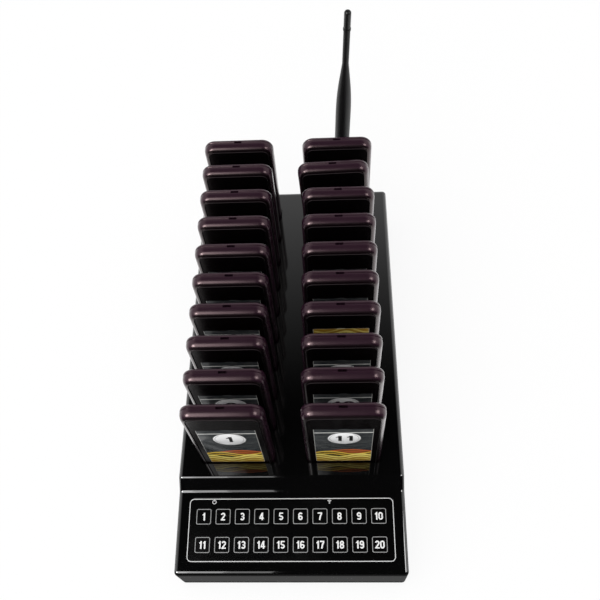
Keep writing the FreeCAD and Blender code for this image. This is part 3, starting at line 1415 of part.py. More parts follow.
case_screw = make_screw("case_screw", "case_screw")
board_screw = make_screw("board_screw", "board_screw")
placed_screws = [
    place_screw(case_screw, side + CASE_BOSS_X, row_y, f"{CASE_UNDERSIDE} + Sizes.counterbore_depth")
    for row_y in CASE_BOSS_ROWS
    for side in ("-", "")
]
placed_screws += [
    place_screw(board_screw, "0", row_y, CHARGING_BOARD_UNDERSIDE) for row_y in CHARGING_BOSS_ROWS
]
placed_screws += [
    place_screw(board_screw, column, CONSOLE_BOSS_Y, KEYPAD_BOARD_UNDERSIDE, console=True)
    for column in CONSOLE_BOSS_COLUMNS
]
placed_screws += [
    place_board_screw_from_above(board_screw, side + STANDOFF_X, row_y, MAIN_BOARD_TOP)
    for row_y in STANDOFF_ROWS
    for side in ("-", "")
]
node(group("screws", placed_screws), "screws")


# ---------------------------------------------------------------- check and export

doc.recompute()
for item in doc.Objects:
    if "Invalid" in item.State or "Error" in item.State:
        raise ValueError(f"{item.Name} ({item.Label}) failed: {item.State}")
for item in nodes:
    if item.Shape.isNull() or not item.Shape.isValid():
        raise ValueError(f"{item.Label} has no valid shape")

os.makedirs("parts", exist_ok=True)
for item in nodes:
    item.Shape.exportStep(f"parts/{item.Label}.step")
    print(f"{item.Label}: {len(item.Shape.Solids)} solids, {item.Shape.Volume / 1000:.2f} cm3")
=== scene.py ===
# %% [markdown]
# A guest pager system: a low desk unit in glossy black, with a console of twenty numbered keys at the
# front and twenty hand-held pagers in two rows of charging slots. Its solid frame comes from CAD and is
# loaded as it is. What the frame already shapes well keeps its solid and gets a finish made of nodes.
# What wants finer shape, such as the pagers' shells, their labels and the printing on the keys, is built
# as new meshes that ride on the same moving bodies.

import json
import math

import bmesh
import bpy
from mathutils import Matrix, Vector


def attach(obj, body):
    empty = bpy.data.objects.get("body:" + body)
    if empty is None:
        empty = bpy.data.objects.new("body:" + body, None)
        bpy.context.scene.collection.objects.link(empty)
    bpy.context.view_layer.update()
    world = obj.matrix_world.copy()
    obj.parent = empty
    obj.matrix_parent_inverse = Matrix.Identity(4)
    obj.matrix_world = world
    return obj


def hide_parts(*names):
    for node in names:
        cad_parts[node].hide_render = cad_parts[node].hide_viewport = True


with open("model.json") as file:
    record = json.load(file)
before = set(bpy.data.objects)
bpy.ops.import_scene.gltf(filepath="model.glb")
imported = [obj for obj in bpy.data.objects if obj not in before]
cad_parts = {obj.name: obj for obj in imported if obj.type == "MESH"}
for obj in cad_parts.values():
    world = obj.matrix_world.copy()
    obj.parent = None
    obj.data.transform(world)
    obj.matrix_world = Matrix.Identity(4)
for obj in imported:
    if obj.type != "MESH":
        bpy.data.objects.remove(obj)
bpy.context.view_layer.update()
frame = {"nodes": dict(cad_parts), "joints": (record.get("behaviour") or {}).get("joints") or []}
scene = bpy.context.scene
scene.view_settings.view_transform = "Standard"
joints = {joint["name"]: joint for joint in frame["joints"]}

# %% [markdown]
# Shapes are thought of in millimetres here, while Blender counts in metres, so one factor turns the first
# into the second. The frame's own vertices say where a piece stands: a helper measures how far a node
# reaches along any direction, because the console slopes and one pager leans.

# %% Units and measuring
MM = 0.001
MICRON = 0.000001
ACROSS = Vector((1.0, 0.0, 0.0))
BACK = Vector((0.0, 1.0, 0.0))
NUMBERS = range(1, 21)


def span(node, way):
    """How far a frame node reaches down and up a direction, in metres."""
    reach = [vertex.co.dot(way) for vertex in frame["nodes"][node].data.vertices]
    return min(reach), max(reach)


def placement(across, along, out, spot):
    """A matrix that turns a shape to three directions and moves it to a spot given along them."""
    turn = Matrix((across, along, out)).transposed()
    return Matrix.Translation(turn @ Vector(spot)) @ turn.to_4x4()


# %% [markdown]
# The camera looks down on the unit from in front and above, a little to the right. Its lens and turn are
# plain numbers, found by fitting the edges of the frame.

# %% Camera
camera_data = bpy.data.cameras.new("counter_view")
camera_data.lens = 42.39
camera_data.sensor_width = 36.0
camera_data.sensor_fit = "HORIZONTAL"
camera_data.clip_start = 0.01
camera = bpy.data.objects.new("counter_view", camera_data)
camera.location = (0.034045, -0.245095, 0.539612)
camera.rotation_euler = [math.radians(angle) for angle in (29.816, 3.049, 0.430)]
scene.collection.objects.link(camera)
scene.camera = camera
print("camera stands", round(camera.location.z / MM), "mm above the counter")

# %% [markdown]
# Materials are small programs made of nodes. A few helpers keep them short to write: one adds a node and
# joins its inputs to values or to other nodes, others do arithmetic and mix colours.

# %% Node helpers


def add_node(tree, kind, feeds=None, **settings):
    """Adds a shader node. A feed is a plain value or another node's output."""
    node = tree.nodes.new("ShaderNode" + kind)
    for name, setting in settings.items():
        setattr(node, name, setting)
    for socket, feed in (feeds or {}).items():
        if isinstance(feed, bpy.types.NodeSocket):
            tree.links.new(feed, node.inputs[socket])
        else:
            node.inputs[socket].default_value = feed
    return node


def calculate(tree, operation, *values):
    """One step of arithmetic."""
    return add_node(tree, "Math", dict(enumerate(values)), operation=operation).outputs[0]


def product(tree, first, second):
    """One value times another."""
    return calculate(tree, "MULTIPLY", first, second)


def step_between(tree, value, start, end):
    """A smooth step from 0 at the start to 1 at the end, whichever of the two is higher."""
    feeds = {"Value": value, "From Min": start, "From Max": end}
    return add_node(tree, "MapRange", feeds, interpolation_type="SMOOTHSTEP").outputs[0]


def mix_numbers(tree, factor, first, second):
    """From the first number at factor 0 to the second at factor 1."""
    return add_node(tree, "Mix", {0: factor, 2: first, 3: second}, data_type="FLOAT").outputs[0]


def mix_colours(tree, factor, first, second):
    """From the first colour at factor 0 to the second at factor 1."""
    return add_node(tree, "Mix", {0: factor, 6: first, 7: second}, data_type="RGBA").outputs[2]


def object_point(tree):
    """Where a point lies on its own object, in metres."""
    return add_node(tree, "TexCoord").outputs["Object"]


def object_axis(tree, axis):
    """How far a point lies along one axis of its own object, in metres."""
    return add_node(tree, "SeparateXYZ", {0: object_point(tree)}).outputs[axis]


def noise(tree, point, scale, detail=3.0, roughness=0.55):
    """Cloudy noise between 0 and 1."""
    feeds = {"Vector": point, "Scale": scale, "Detail": detail, "Roughness": roughness}
    return add_node(tree, "TexNoise", feeds).outputs["Fac"]


def rgb(red, green, blue):
    """A colour with its alpha."""
    return (red, green, blue, 1.0)


def grey(level):
    """A colour without a hue."""
    return rgb(level, level, level)


# %% [markdown]
# Four effects turn up on almost every surface, so each is a node group that is built once and placed in
# many materials. Handling marks are faint smears that only show in the gloss. Moulded grain is the tooth
# of the steel mould. Colour drift is the slight unevenness of dyed plastic. Fine scratches are hairlines
# that run one way.

# %% Shared effects


def new_group(name, output, **inputs):
    """A node group whose output is of the kind of its first input. Returns it, its inputs and its output."""
    group = bpy.data.node_groups.new(name, "ShaderNodeTree")
    kinds = ["NodeSocketFloat" if isinstance(x, float) else "NodeSocketColor" for x in inputs.values()]
    for (label, default), kind in zip(inputs.items(), kinds):
        group.interface.new_socket(label, in_out="INPUT", socket_type=kind).default_value = default
    group.interface.new_socket(output, in_out="OUTPUT", socket_type=kinds[0])
    return group, group.nodes.new("NodeGroupInput").outputs, group.nodes.new("NodeGroupOutput").inputs[0]


def make_handling_marks():
    """A mask of soft smears with finer streaks inside them."""
    group, given, result = new_group("handling_marks", "Mask", Scale=30.0, Amount=1.0)
    point = object_point(group)
    patches = step_between(group, noise(group, point, given["Scale"]), 0.46, 0.72)
    streaks = noise(group, point, product(group, given["Scale"], 9.0), detail=5.0)
    both = product(group, patches, streaks)
    group.links.new(product(group, both, given["Amount"]), result)
    return group


def make_moulded_grain():
    """A height of rounded pits with a finer noise over them."""
    group, given, result = new_group("moulded_grain", "Height", Scale=1500.0, Fineness=2.5)
    point = object_point(group)
    feeds = {"Vector": point, "Scale": given["Scale"], "Smoothness": 0.6}
    pits = add_node(group, "TexVoronoi", feeds, feature="SMOOTH_F1").outputs["Distance"]
    tooth = product(group, noise(group, point, product(group, given["Scale"], given["Fineness"])), 0.5)
    group.links.new(calculate(group, "ADD", pits, tooth), result)
    return group


def make_colour_drift():
    """A colour that wanders a little darker and lighter."""
    group, given, result = new_group("colour_drift", "Colour", Colour=grey(0.5), Scale=40.0, Amount=0.1)
    clouds = noise(group, object_point(group), given["Scale"], detail=4.0)
    swing = product(group, calculate(group, "SUBTRACT", clouds, 0.5), given["Amount"])
    feeds = {0: given["Colour"], "Scale": calculate(group, "ADD", swing, 1.0)}
    group.links.new(add_node(group, "VectorMath", feeds, operation="SCALE").outputs[0], result)
    return group


def make_fine_scratches():
    """A mask of hairlines that run one way."""
    group, given, result = new_group("fine_scratches", "Mask", Density=0.5, Fineness=900.0)
    feeds = {"Vector": object_point(group), "Rotation": (0.2, 0.1, 0.5), "Scale": (1.0, 0.04, 1.0)}
    stretched = add_node(group, "Mapping", feeds).outputs["Vector"]
    lines = noise(group, stretched, given["Fineness"], detail=1.0)
    edge = calculate(group, "SUBTRACT", 0.8, product(group, given["Density"], 0.2))
    group.links.new(step_between(group, lines, edge, calculate(group, "ADD", edge, 0.05)), result)
    return group


HANDLING_MARKS = make_handling_marks()
MOULDED_GRAIN = make_moulded_grain()
COLOUR_DRIFT = make_colour_drift()
FINE_SCRATCHES = make_fine_scratches()
print("shared effects:", ", ".join(sorted(group.name for group in bpy.data.node_groups)))

# %% [markdown]
# Every finish is one Principled shader. Its colour mostly comes through the drift group, its roughness
# grows where hands and scratches have been, and the grain goes into a bump. What is the same all over,
# such as the strength of a clear coat, is set on the shader's own socket.

# %% Finish builder
HAIRLINE_RISE = 0.3


def place_group(tree, group, **feeds):
    """Puts a shared effect in a material and returns what it gives."""
    return add_node(tree, "Group", feeds, node_tree=group).outputs[0]


def drifting(tree, colour, amount):
    """A colour, plain or from a node, with the drift of dyed plastic."""
    return place_group(tree, COLOUR_DRIFT, Colour=colour, Amount=amount)


def new_material(name):
    """A material with its tree and its Principled shader."""
    material = bpy.data.materials.new(name)
    material.use_nodes = True
    return material, material.node_tree, material.node_tree.nodes["Principled BSDF"]


def lay_skin(tree, shader, colour, roughness, grain, microns, marks=0.08, smears=30.0, scratches=0.2, **own):
    """Joins colour, roughness and bump to a shader. Grain is a scale, or a height from other nodes."""
    tree.links.new(colour, shader.inputs["Base Color"])
    smudges = place_group(tree, HANDLING_MARKS, Scale=smears, Amount=marks)
    hairlines = place_group(tree, FINE_SCRATCHES, Density=scratches)
    worn = calculate(tree, "MULTIPLY_ADD", hairlines, scratches * HAIRLINE_RISE, smudges)
    tree.links.new(calculate(tree, "ADD", worn, roughness), shader.inputs["Roughness"])
    made = isinstance(grain, bpy.types.NodeSocket)
    height = grain if made else place_group(tree, MOULDED_GRAIN, Scale=grain)
    feeds = {"Height": height, "Strength": 1.0, "Distance": microns * MICRON}
    tree.links.new(add_node(tree, "Bump", feeds).outputs["Normal"], shader.inputs["Normal"])
    for socket, number in own.items():
        shader.inputs[socket.replace("_", " ")].default_value = number


def moulded(name, colour, roughness, grain, microns, drift=0.15, **skin):
    """A finish of one colour."""
    material, tree, shader = new_material(name)
    lay_skin(tree, shader, drifting(tree, colour, drift), roughness, grain, microns, **skin)
    return material


def moulded_between(name, axis, reach, colours, roughness, grain, microns, drift, **skin):
    """A finish that runs from one colour to another along an axis, over a reach given in metres."""
    material, tree, shader = new_material(name)
    blend = mix_colours(tree, step_between(tree, object_axis(tree, axis), *reach), *colours)
    lay_skin(tree, shader, drifting(tree, blend, drift), roughness, grain, microns, **skin)
    return material


# %% [markdown]
# The case is piano black. Its grain is only the long, shallow ripple of a polished mould, and a thin
# coat gives the sharp reflections. The tray below it is the same plastic left matt, with a fine
# spark-eroded tooth. The feet and the antenna's sleeve are rubber, duller and softer to look at. The
# keypad is one glossy film over raised keys, blacker than the case.

# %% Finishes of the base
case_black = moulded(
    "piano_black", rgb(0.0018, 0.0018, 0.0019), 0.05, 120.0, 2, marks=0.05,
    Coat_Weight=0.8, Coat_Roughness=0.02,
)
tray_grey = moulded(
    "tray_charcoal", rgb(0.018, 0.0177, 0.0174), 0.8, 1800.0, 30, drift=0.2, Specular_IOR_Level=0.05
)
foot_rubber = moulded("foot_rubber", grey(0.012), 0.75, 1200.0, 40, drift=0.3)
antenna_rubber = moulded(
    "antenna_rubber", rgb(0.0030, 0.0030, 0.0033), 0.45, 900.0, 12, Specular_IOR_Level=0.2
)
antenna_plastic = moulded("antenna_plastic", grey(0.0036), 0.36, 1400.0, 6, Specular_IOR_Level=0.25)
rocker_black = moulded("rocker_black", grey(0.007), 0.28, 1400.0, 6)
inlet_black = moulded("inlet_black", grey(0.010), 0.42, 1600.0, 15)
switch_black = moulded("switch_black", rgb(0.012, 0.012, 0.013), 0.45, 1600.0, 15)
overlay_film = moulded("overlay_film", rgb(0.0007, 0.0007, 0.0008), 0.12, 260.0, 2, scratches=0.15)
key_film = moulded("key_film", rgb(0.0008, 0.0008, 0.0009), 0.13, 260.0, 2, scratches=0.15)
print("finishes of the base:", len(bpy.data.materials))

# %% [markdown]
# The pagers are a very dark aubergine plastic with a satin skin. The grain is fine enough to blur
# reflections without being seen as dots. Towards the panel the shell's front round runs to nearly black:
# that is painted shade, for the little light that reaches the lower part of the round. The panel is smooth
# black. So is the fine rim round it, but its top turns paler: a painted highlight of the light from above.

# %% Pager plastics
AUBERGINE = rgb(0.0185, 0.0056, 0.0135)
# Painted shade: the colour the front round darkens to near the panel, and the depth where it does so.
AUBERGINE_PAINTED_SHADE = rgb(0.0030, 0.0014, 0.0022)
PAINTED_SHADE_REACH = (-0.0048, -0.0062)
RIM_BLACK = rgb(0.0020, 0.0015, 0.0017)
# Painted highlight: the paler colour of the rim's top, and the height where it shows.
RIM_PAINTED_HIGHLIGHT = rgb(0.026, 0.020, 0.022)
RIM_PAINTED_HIGHLIGHT_REACH = (0.0945, 0.1005)

# The shell's colour runs into the painted shade along its front round.
aubergine = moulded_between(
    "aubergine_satin", "Y", PAINTED_SHADE_REACH, (AUBERGINE, AUBERGINE_PAINTED_SHADE), 0.25, 1500.0, 5, drift=0.25,
    marks=0.06, Specular_IOR_Level=0.44, Specular_Tint=rgb(1.0, 0.75, 0.75),
)
bezel_black = moulded(
    "bezel_black", rgb(0.0016, 0.0011, 0.0013), 0.22, 900.0, 3, marks=0.10,
    Specular_IOR_Level=0.07, Specular_Tint=rgb(1.0, 0.70, 0.74),
)
# The rim's colour runs into the painted highlight at its top.
panel_rim = moulded_between(
    "panel_rim", "Z", RIM_PAINTED_HIGHLIGHT_REACH, (RIM_BLACK, RIM_PAINTED_HIGHLIGHT), 0.45, 900.0, 3, drift=0.15,
    marks=0.06, Specular_IOR_Level=0.04,
)
print("finishes so far:", len(bpy.data.materials))

# %% [markdown]
# Metals are fully metallic, with the colour of the metal itself. Gold plates the contacts, tin covers
# the radio's can, nickel the threads and bright steel the screws. Circuit boards are glass cloth under a
# green lacquer. The copper shows through it as lighter tracks, which a cell pattern suggests.

# %% Metals and circuit board


def metal(name, colour, roughness, grain, microns):
    """A plated or rolled metal."""
    return moulded(name, colour, roughness, grain, microns, 0.2, marks=0.15, scratches=0.6, Metallic=1.0)


def make_board_green():
    """Green lacquer over copper tracks, with the weave of the glass cloth."""
    material, tree, shader = new_material("board_green")
    point = object_point(tree)
    feeds = {"Vector": point, "Scale": 260.0, "Randomness": 0.35}
    cells = add_node(tree, "TexVoronoi", feeds, feature="DISTANCE_TO_EDGE").outputs["Distance"]
    tracks = step_between(tree, cells, 0.10, 0.06)
    green = drifting(tree, rgb(0.006, 0.060, 0.022), 0.4)
    lacquer = mix_colours(tree, tracks, green, rgb(0.020, 0.130, 0.045))
    weave = add_node(tree, "TexWave", {"Vector": point, "Scale": 900.0, "Distortion": 0.6})
    height = calculate(tree, "MULTIPLY_ADD", weave.outputs["Fac"], 0.3, tracks)
    lay_skin(tree, shader, lacquer, 0.30, height, 20, marks=0.1, smears=40.0)
    return material


contact_gold = metal("contact_gold", rgb(0.83, 0.58, 0.22), 0.24, 2200.0, 4)
radio_can = metal("tinned_can", rgb(0.62, 0.62, 0.60), 0.34, 700.0, 8)
connector_metal = metal("nickel_plate", rgb(0.60, 0.58, 0.54), 0.26, 1800.0, 4)
screw_steel = metal("screw_steel", rgb(0.52, 0.52, 0.53), 0.30, 1500.0, 5)
board_green = make_board_green()
print("board finish has", len(board_green.node_tree.nodes), "nodes")

# %% [markdown]
# The frame's nodes each arrive with one material slot. Putting a finish in that slot changes how a solid
# looks and nothing of its shape.

# %% Dress the frame's own solids
NODE_FINISHES = (
    (case_black, "upper_case"),
    (tray_grey, "bottom_tray"),
    (foot_rubber, "rubber_feet"),
    (overlay_film, "keypad_overlay"),
    (key_film, *(f"key_{number:02d}" for number in NUMBERS)),
    (switch_black, "key_switches"),
    (board_green, "keypad_board", "charging_board", "main_board"),
    (contact_gold, "charging_pins"),
    (radio_can, "board_components"),
    (inlet_black, "power_inlet"),
    (rocker_black, "rocker_housing", "power_rocker"),
    (connector_metal, "antenna_socket", "elbow_pin"),
    (antenna_plastic, "coupling_nut", "antenna_elbow", "antenna_cap"),
    (antenna_rubber, "antenna_whip"),
    (screw_steel, "screws"),
)
for finish, *node_names in NODE_FINISHES:
    for node_name in node_names:
        slots = frame["nodes"][node_name].data.materials
        for place in range(len(slots)):
            slots[place] = finish
print("dressed", sum(len(node_names) for finish, *node_names in NODE_FINISHES), "nodes of the frame")

# %% [markdown]
# Most new shapes are lofts: a row of closed outlines with the same number of points, joined by quads,
# with a face on each end. Outlines are rounded rectangles. A few extra points can sit along the top
# edge, where a notch is to be cut by moving them.

# %% Outlines and lofts
CORNER_STEPS = 8
CORNERS = ((1, -1), (1, 1), (-1, 1), (-1, -1))
INK_THICKNESS = 0.04


def outline(width, height, radius, middle=0.0, along_top=(), inset=0.0):
    """Flat points of a rounded rectangle moved inwards, anticlockwise from its lower right corner."""
    width, height, radius = width - 2 * inset, height - 2 * inset, radius - inset
    points = []
    for quarter, (side, end) in enumerate(CORNERS):
        centre_x = side * (width / 2 - radius)
        centre_y = middle + end * (height / 2 - radius)
        for step in range(CORNER_STEPS + 1):
            angle = math.radians(90.0 * (quarter - 1 + step / CORNER_STEPS))
            points.append((centre_x + radius * math.cos(angle), centre_y + radius * math.sin(angle)))
        if quarter == 1:
            points += [(x, middle + height / 2) for x in along_top]
    return points


def circle(radius, steps=64):
    """Flat points of a circle."""
    angles = [2 * math.pi * step / steps for step in range(steps)]
    return [(radius * math.cos(angle), radius * math.sin(angle)) for angle in angles]


def at_height(points, height):
    """Lifts flat points to a height over the sheet they are drawn on."""
    return [Vector((x, y, height)) for x, y in points]


def loft(name, rings, hoop=False, smooth_below=35.0):
    """Joins rings of points, in millimetres, into a closed mesh. A hoop joins its last ring to its first."""
    shape = bmesh.new()
    rows = [[shape.verts.new(point * MM) for point in ring] for ring in rings]
    pairs = list(zip(rows, rows[1:])) + ([(rows[-1], rows[0])] if hoop else [])
    for near, far in pairs:
        for index in range(len(near)):
            after = (index + 1) % len(near)
            shape.faces.new((near[index], near[after], far[after], far[index]))
    if not hoop:
        shape.faces.new(rows[0])
        shape.faces.new(rows[-1])
    bmesh.ops.recalc_face_normals(shape, faces=shape.faces)
    return finished_mesh(name, shape, smooth_below)


def finished_mesh(name, shape, smooth_below):
    """Turns a shape into a mesh that is smooth but for edges sharper than an angle in degrees."""
    mesh = bpy.data.meshes.new(name)
    shape.to_mesh(mesh)
    shape.free()
    mesh.shade_smooth()
    mesh.set_sharp_from_angle(angle=math.radians(smooth_below))
    return mesh


def line_frame(name, line, *size):
    """A printed line that runs round a rounded rectangle, thin but solid."""
    outside, inside = outline(*size), outline(*size, inset=line)
    rings = [at_height(outside, 0.0), at_height(outside, INK_THICKNESS)]
    rings += [at_height(inside, INK_THICKNESS), at_height(inside, 0.0)]
    return loft(name, rings, hoop=True)


def add_piece(name, mesh, body, place, finish):
    """Puts a mesh in the scene and lets it ride on a body."""
    piece = bpy.data.objects.new(name, mesh)
    scene.collection.objects.link(piece)
    if not mesh.materials:
        mesh.materials.append(finish)
    piece.matrix_world = place
    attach(piece, body)
    return piece


# %% [markdown]
# The numbers on this unit are bold, narrow and plain, and Blender's own font is light and wide, so the
# ten figures are drawn here, one unit tall. A figure is a few strokes, each a middle line with a
# thickness.

# %% Strokes
FIGURE_WIDTH = 0.62
ONE_WIDTH = 0.46
SIDE = 0.21
CURVE_HALF = 0.092
STEM_HALF = 0.098
BAR_HALF = 0.082
TOP_BAR = 1.0 - BAR_HALF


def arc(centre_x, centre_y, radius, start, end, steps=12):
    """Points along part of a circle, with angles in degrees."""
    angles = [math.radians(start + (end - start) * step / steps) for step in range(steps + 1)]
    return [(centre_x + radius * math.cos(a), centre_y + radius * math.sin(a)) for a in angles]


def stroke(path, half, closed=False):
    """A thin slab along a middle line, with mitred corners."""
    count = len(path)
    rings = []
    for index, (x, y) in enumerate(path):
        here = Vector((x, y))
        before = Vector(path[index - 1]) if closed or index else here
        after = Vector(path[(index + 1) % count]) if closed or index < count - 1 else here
        arriving, leaving = (here - before), (after - here)
        arriving = (arriving if arriving.length else leaving).normalized()
        leaving = (leaving if leaving.length else arriving).normalized()
        along = (arriving + leaving).normalized()
        reach = half / max(along.dot(arriving), 0.5)
        aside = Vector((-along.y, along.x)) * reach
        left, right = here + aside, here - aside
        rings.append([Vector((*left, 0)), Vector((*left, 1)), Vector((*right, 1)), Vector((*right, 0))])
    return loft("stroke", rings, hoop=closed)


def half_turn(path):
    """A path turned upside down about the middle of a figure."""
    return [(-x, 1.0 - y) for x, y in path]


SIX_LOOP = arc(0.0, 0.30, SIDE, 0, 345, 23)
SIX_BACK = [(-SIDE, 0.32)] + arc(0.0, 0.70, SIDE, 180, 22)
FIGURE_STROKES = {
    "0": [(arc(0, 0.70, SIDE, 0, 180) + arc(0, 0.30, SIDE, 180, 360), CURVE_HALF, True)],
    "1": [([(0.07, 0.0), (0.07, 1.0)], STEM_HALF), ([(-0.17, 0.735), (-0.06, 0.765), (0.05, 0.90)], 0.07)],
    "2": [
        (arc(0, 0.70, SIDE, 170, -28) + [(-0.17, 0.13)], CURVE_HALF),
        ([(-0.30, BAR_HALF), (0.30, BAR_HALF)], BAR_HALF),
    ],
    "3": [(arc(0, 0.705, 0.20, 155, -80) + arc(0, 0.30, SIDE, 80, -155), CURVE_HALF)],
    "4": [
        ([(0.09, 0.0), (0.09, 1.0)], STEM_HALF),
        ([(-0.31, 0.27), (0.31, 0.27)], BAR_HALF),
        ([(0.04, 0.92), (-0.23, 0.31)], BAR_HALF),
    ],
    "5": [
        ([(-0.24, TOP_BAR), (0.27, TOP_BAR)], BAR_HALF),
        ([(-0.165, 0.95), (-0.195, 0.50)], BAR_HALF),
        (arc(0, 0.305, SIDE, 132, -155), CURVE_HALF),
    ],
    "6": [(SIX_LOOP, CURVE_HALF, True), (SIX_BACK, CURVE_HALF)],
    "7": [
        ([(-0.30, TOP_BAR), (0.30, TOP_BAR)], BAR_HALF),
        ([(0.22, 0.87), (0.05, 0.48), (-0.05, 0.0)], STEM_HALF),
    ],
    "8": [
        (arc(0, 0.715, 0.19, 0, 345, 23), CURVE_HALF, True),
        (arc(0, 0.295, SIDE, 0, 345, 23), CURVE_HALF, True),
    ],
    "9": [(half_turn(SIX_LOOP), CURVE_HALF, True), (half_turn(SIX_BACK), CURVE_HALF)],
}
print("figures to draw:", len(FIGURE_STROKES))

# %% [markdown]
# A Boolean union melts the strokes of a figure into one. It works on objects, so the strokes stand in
# the scene for a moment and then go. What stays is a mesh per figure, and numbers are put together from
# those.

# %% Figures


def melted(name, meshes):
    """The union of closed meshes as one mesh."""
    stands = [bpy.data.objects.new("stroke", mesh) for mesh in meshes]
    for stand in stands:
        scene.collection.objects.link(stand)
    for other in stands[1:]:
        union = stands[0].modifiers.new("union", "BOOLEAN")
        union.operation, union.solver, union.object = "UNION", "EXACT", other
    mesh = bpy.data.meshes.new_from_object(stands[0].evaluated_get(bpy.context.evaluated_depsgraph_get()))
    for stand, stroke_mesh in zip(stands, meshes):
        bpy.data.objects.remove(stand)
        bpy.data.meshes.remove(stroke_mesh)
    mesh.name = name
    return mesh


figure_meshes = {
    figure: melted("figure_" + figure, [stroke(*parts) for parts in strokes])
    for figure, strokes in FIGURE_STROKES.items()
}


def number_mesh(name, text, height, gap, widening=1.0):
    """A number centred on the origin that faces +Z. The gap is counted in figure heights."""
    widths = [ONE_WIDTH if figure == "1" else FIGURE_WIDTH for figure in text]
    start = -(sum(widths) + gap * (len(text) - 1)) / 2
    shape = bmesh.new()
    for figure, width in zip(text, widths):
        count = len(shape.verts)
        shape.from_mesh(figure_meshes[figure])
        shape.verts.ensure_lookup_table()
        for vertex in shape.verts[count:]:
            x, y, z = vertex.co / MM
            x = (x + start + width / 2) * widening
            vertex.co = Vector((x * height, (y - 0.5) * height, z * INK_THICKNESS)) * MM
        start += width + gap
    return finished_mesh(name, shape, 30.0)


print("figures drawn:", {name: len(mesh.polygons) for name, mesh in figure_meshes.items()})

# %% [markdown]
# Printing inks are thin and slightly dusty. The key numbers are bright white, the outlines of the keys a
# mid grey, the film's border lies between them, and the badges' figures are black.
#
# The console slopes towards the person in front. Each key's press direction says which way is down into
# the slope, so its opposite is the way the printing faces, and the third direction runs up the slope.
# With those three, a key's middle and top are measured from its own solid.

# %% Printing on the keys
CONSOLE_UP = -Vector(joints["key_01_press"]["axis"]).normalized()
CONSOLE_BACK = CONSOLE_UP.cross(ACROSS)
KEY_LINE = 0.5
KEY_OUTLINE = (10.4, 10.4, 1.3)
KEY_FIGURE = {"height": 5.1, "gap": 0.05}


def ink(name, level, roughness=0.45):
    """Screen-printed ink: even, with the faint mesh of the screen."""
    return moulded(name, grey(level), roughness, 2500.0, 3, drift=0.08, marks=0.06)


def on_console(node):
    """Places a flat print in the middle of a node's top face on the console."""
    left, right = span(node, ACROSS)
    front, back = span(node, CONSOLE_BACK)
    top = span(node, CONSOLE_UP)[1]
    return placement(ACROSS, CONSOLE_BACK, CONSOLE_UP, ((left + right) / 2, (front + back) / 2, top))


ink_white = ink("ink_white", 0.80)
ink_border = ink("ink_border", 0.62)
ink_grey = ink("ink_grey", 0.24)
ink_black = ink("ink_black", 0.004, 0.35)
key_outline = line_frame("key_outline", KEY_LINE, *KEY_OUTLINE)
for number in NUMBERS:
    key = f"key_{number:02d}"
    place = on_console(key)
    figure = number_mesh(key + "_figure", str(number), **KEY_FIGURE)
    add_piece(key + "_outline", key_outline, key, place, ink_grey)
    add_piece(key + "_number", figure, key, place, ink_white)
print("printed", len(NUMBERS), "keys")

# %% [markdown]
# Round the film runs a thin light border. Above the keys stand two small signs, for power and for the
# radio signal, made of bent strips: an outline runs out along the outer radius and home along the inner
# one, and a slab of it is the printed mark.

# %% Border and signs
BORDER_LINE = 0.52
BORDER = (143.2, 42.05, 3.2)
POWER_SIGN_SPOT = (-54.15, 18.75)
SIGNAL_SIGN_SPOT = (27.1, 17.7)


def slab(flat_points):
    """A printed mark with the given outline."""
    return loft("mark", [at_height(flat_points, 0.0), at_height(flat_points, INK_THICKNESS)])


def strip(radius, line, start, end, steps=20):
    """Outline of a bent strip between two angles, in degrees."""
    outer = arc(0.0, 0.0, radius + line / 2, start, end, steps)
    return outer + arc(0.0, 0.0, radius - line / 2, start, end, steps)[::-1]


def bar(width, height, middle):
    """Outline of a small upright bar."""
    low, high, half = middle - height / 2, middle + height / 2, width / 2
    return [(half, low), (half, high), (-half, high), (-half, low)]


def joined(name, meshes):
    """Several meshes as one, such as the strokes of a sign."""
    shape = bmesh.new()
    for mesh in meshes:
        shape.from_mesh(mesh)
        bpy.data.meshes.remove(mesh)
    return finished_mesh(name, shape, 35.0)


film_place = on_console("keypad_overlay")
border = line_frame("film_border", BORDER_LINE, *BORDER)
add_piece("film_border", border, "base", film_place, ink_border)
power_parts = [strip(1.25, 0.45, 112.0, 428.0, 32), bar(0.45, 1.4, 1.15)]
signal_parts = [strip(1.95, 0.55, 52.0, 128.0), strip(1.10, 0.55, 52.0, 128.0), circle(0.42, 20)]
for name, parts, spot in (
    ("power_sign", power_parts, POWER_SIGN_SPOT),
    ("signal_sign", signal_parts, SIGNAL_SIGN_SPOT),
):
    sign = joined(name, [slab(points) for points in parts])
    sign_place = film_place @ Matrix.Translation((spot[0] * MM, spot[1] * MM, 0.0))
    add_piece(name, sign, "base", sign_place, ink_border)
print("film printed with a border and two signs")

# %% [markdown]
# A pager is a flat slab that splits into a deep front shell and a shallow rear one. In its own frame the
# origin is on the parting plane at the bottom edge, the face looks towards -Y and the top is +Z. The
# lift direction of its joint gives +Z. All twenty share the same few meshes.

# %% Where each pager stands
PAGER_WIDTH = 52.9
PAGER_HEIGHT = 104.4
FRONT_DEPTH = 6.8
REAR_DEPTH = 3.2
PAGER_MIDDLE = PAGER_HEIGHT / 2


def pager_place(name):
    """The frame of one pager, from its solid and its lift."""
    up = Vector(joints[name + "_lift"]["axis"]).normalized()
    across = BACK.cross(up)
    left, right = span(name, across)
    front, rear = span(name, BACK)
    parting = front + (rear - front) * FRONT_DEPTH / (FRONT_DEPTH + REAR_DEPTH)
    return placement(across, BACK, up, ((left + right) / 2, parting, span(name, up)[0]))


pager_names = [f"pager_{number:02d}" for number in NUMBERS]
pager_places = {name: pager_place(name) for name in pager_names}
print("pager_01 stands at", [round(c / MM, 1) for c in pager_places["pager_01"].translation], "mm")

# %% [markdown]
# The front shell is a loft of upright rings. From the parting line it runs forward along the side and
# turns over in a quarter round. A fine raised rim frames the sunk panel, and in the panel lies the
# window seat with a half-moon for the thumb nail at its top. In the top edge a slot takes a strap: there
# the extra points of the first rings are pushed down.

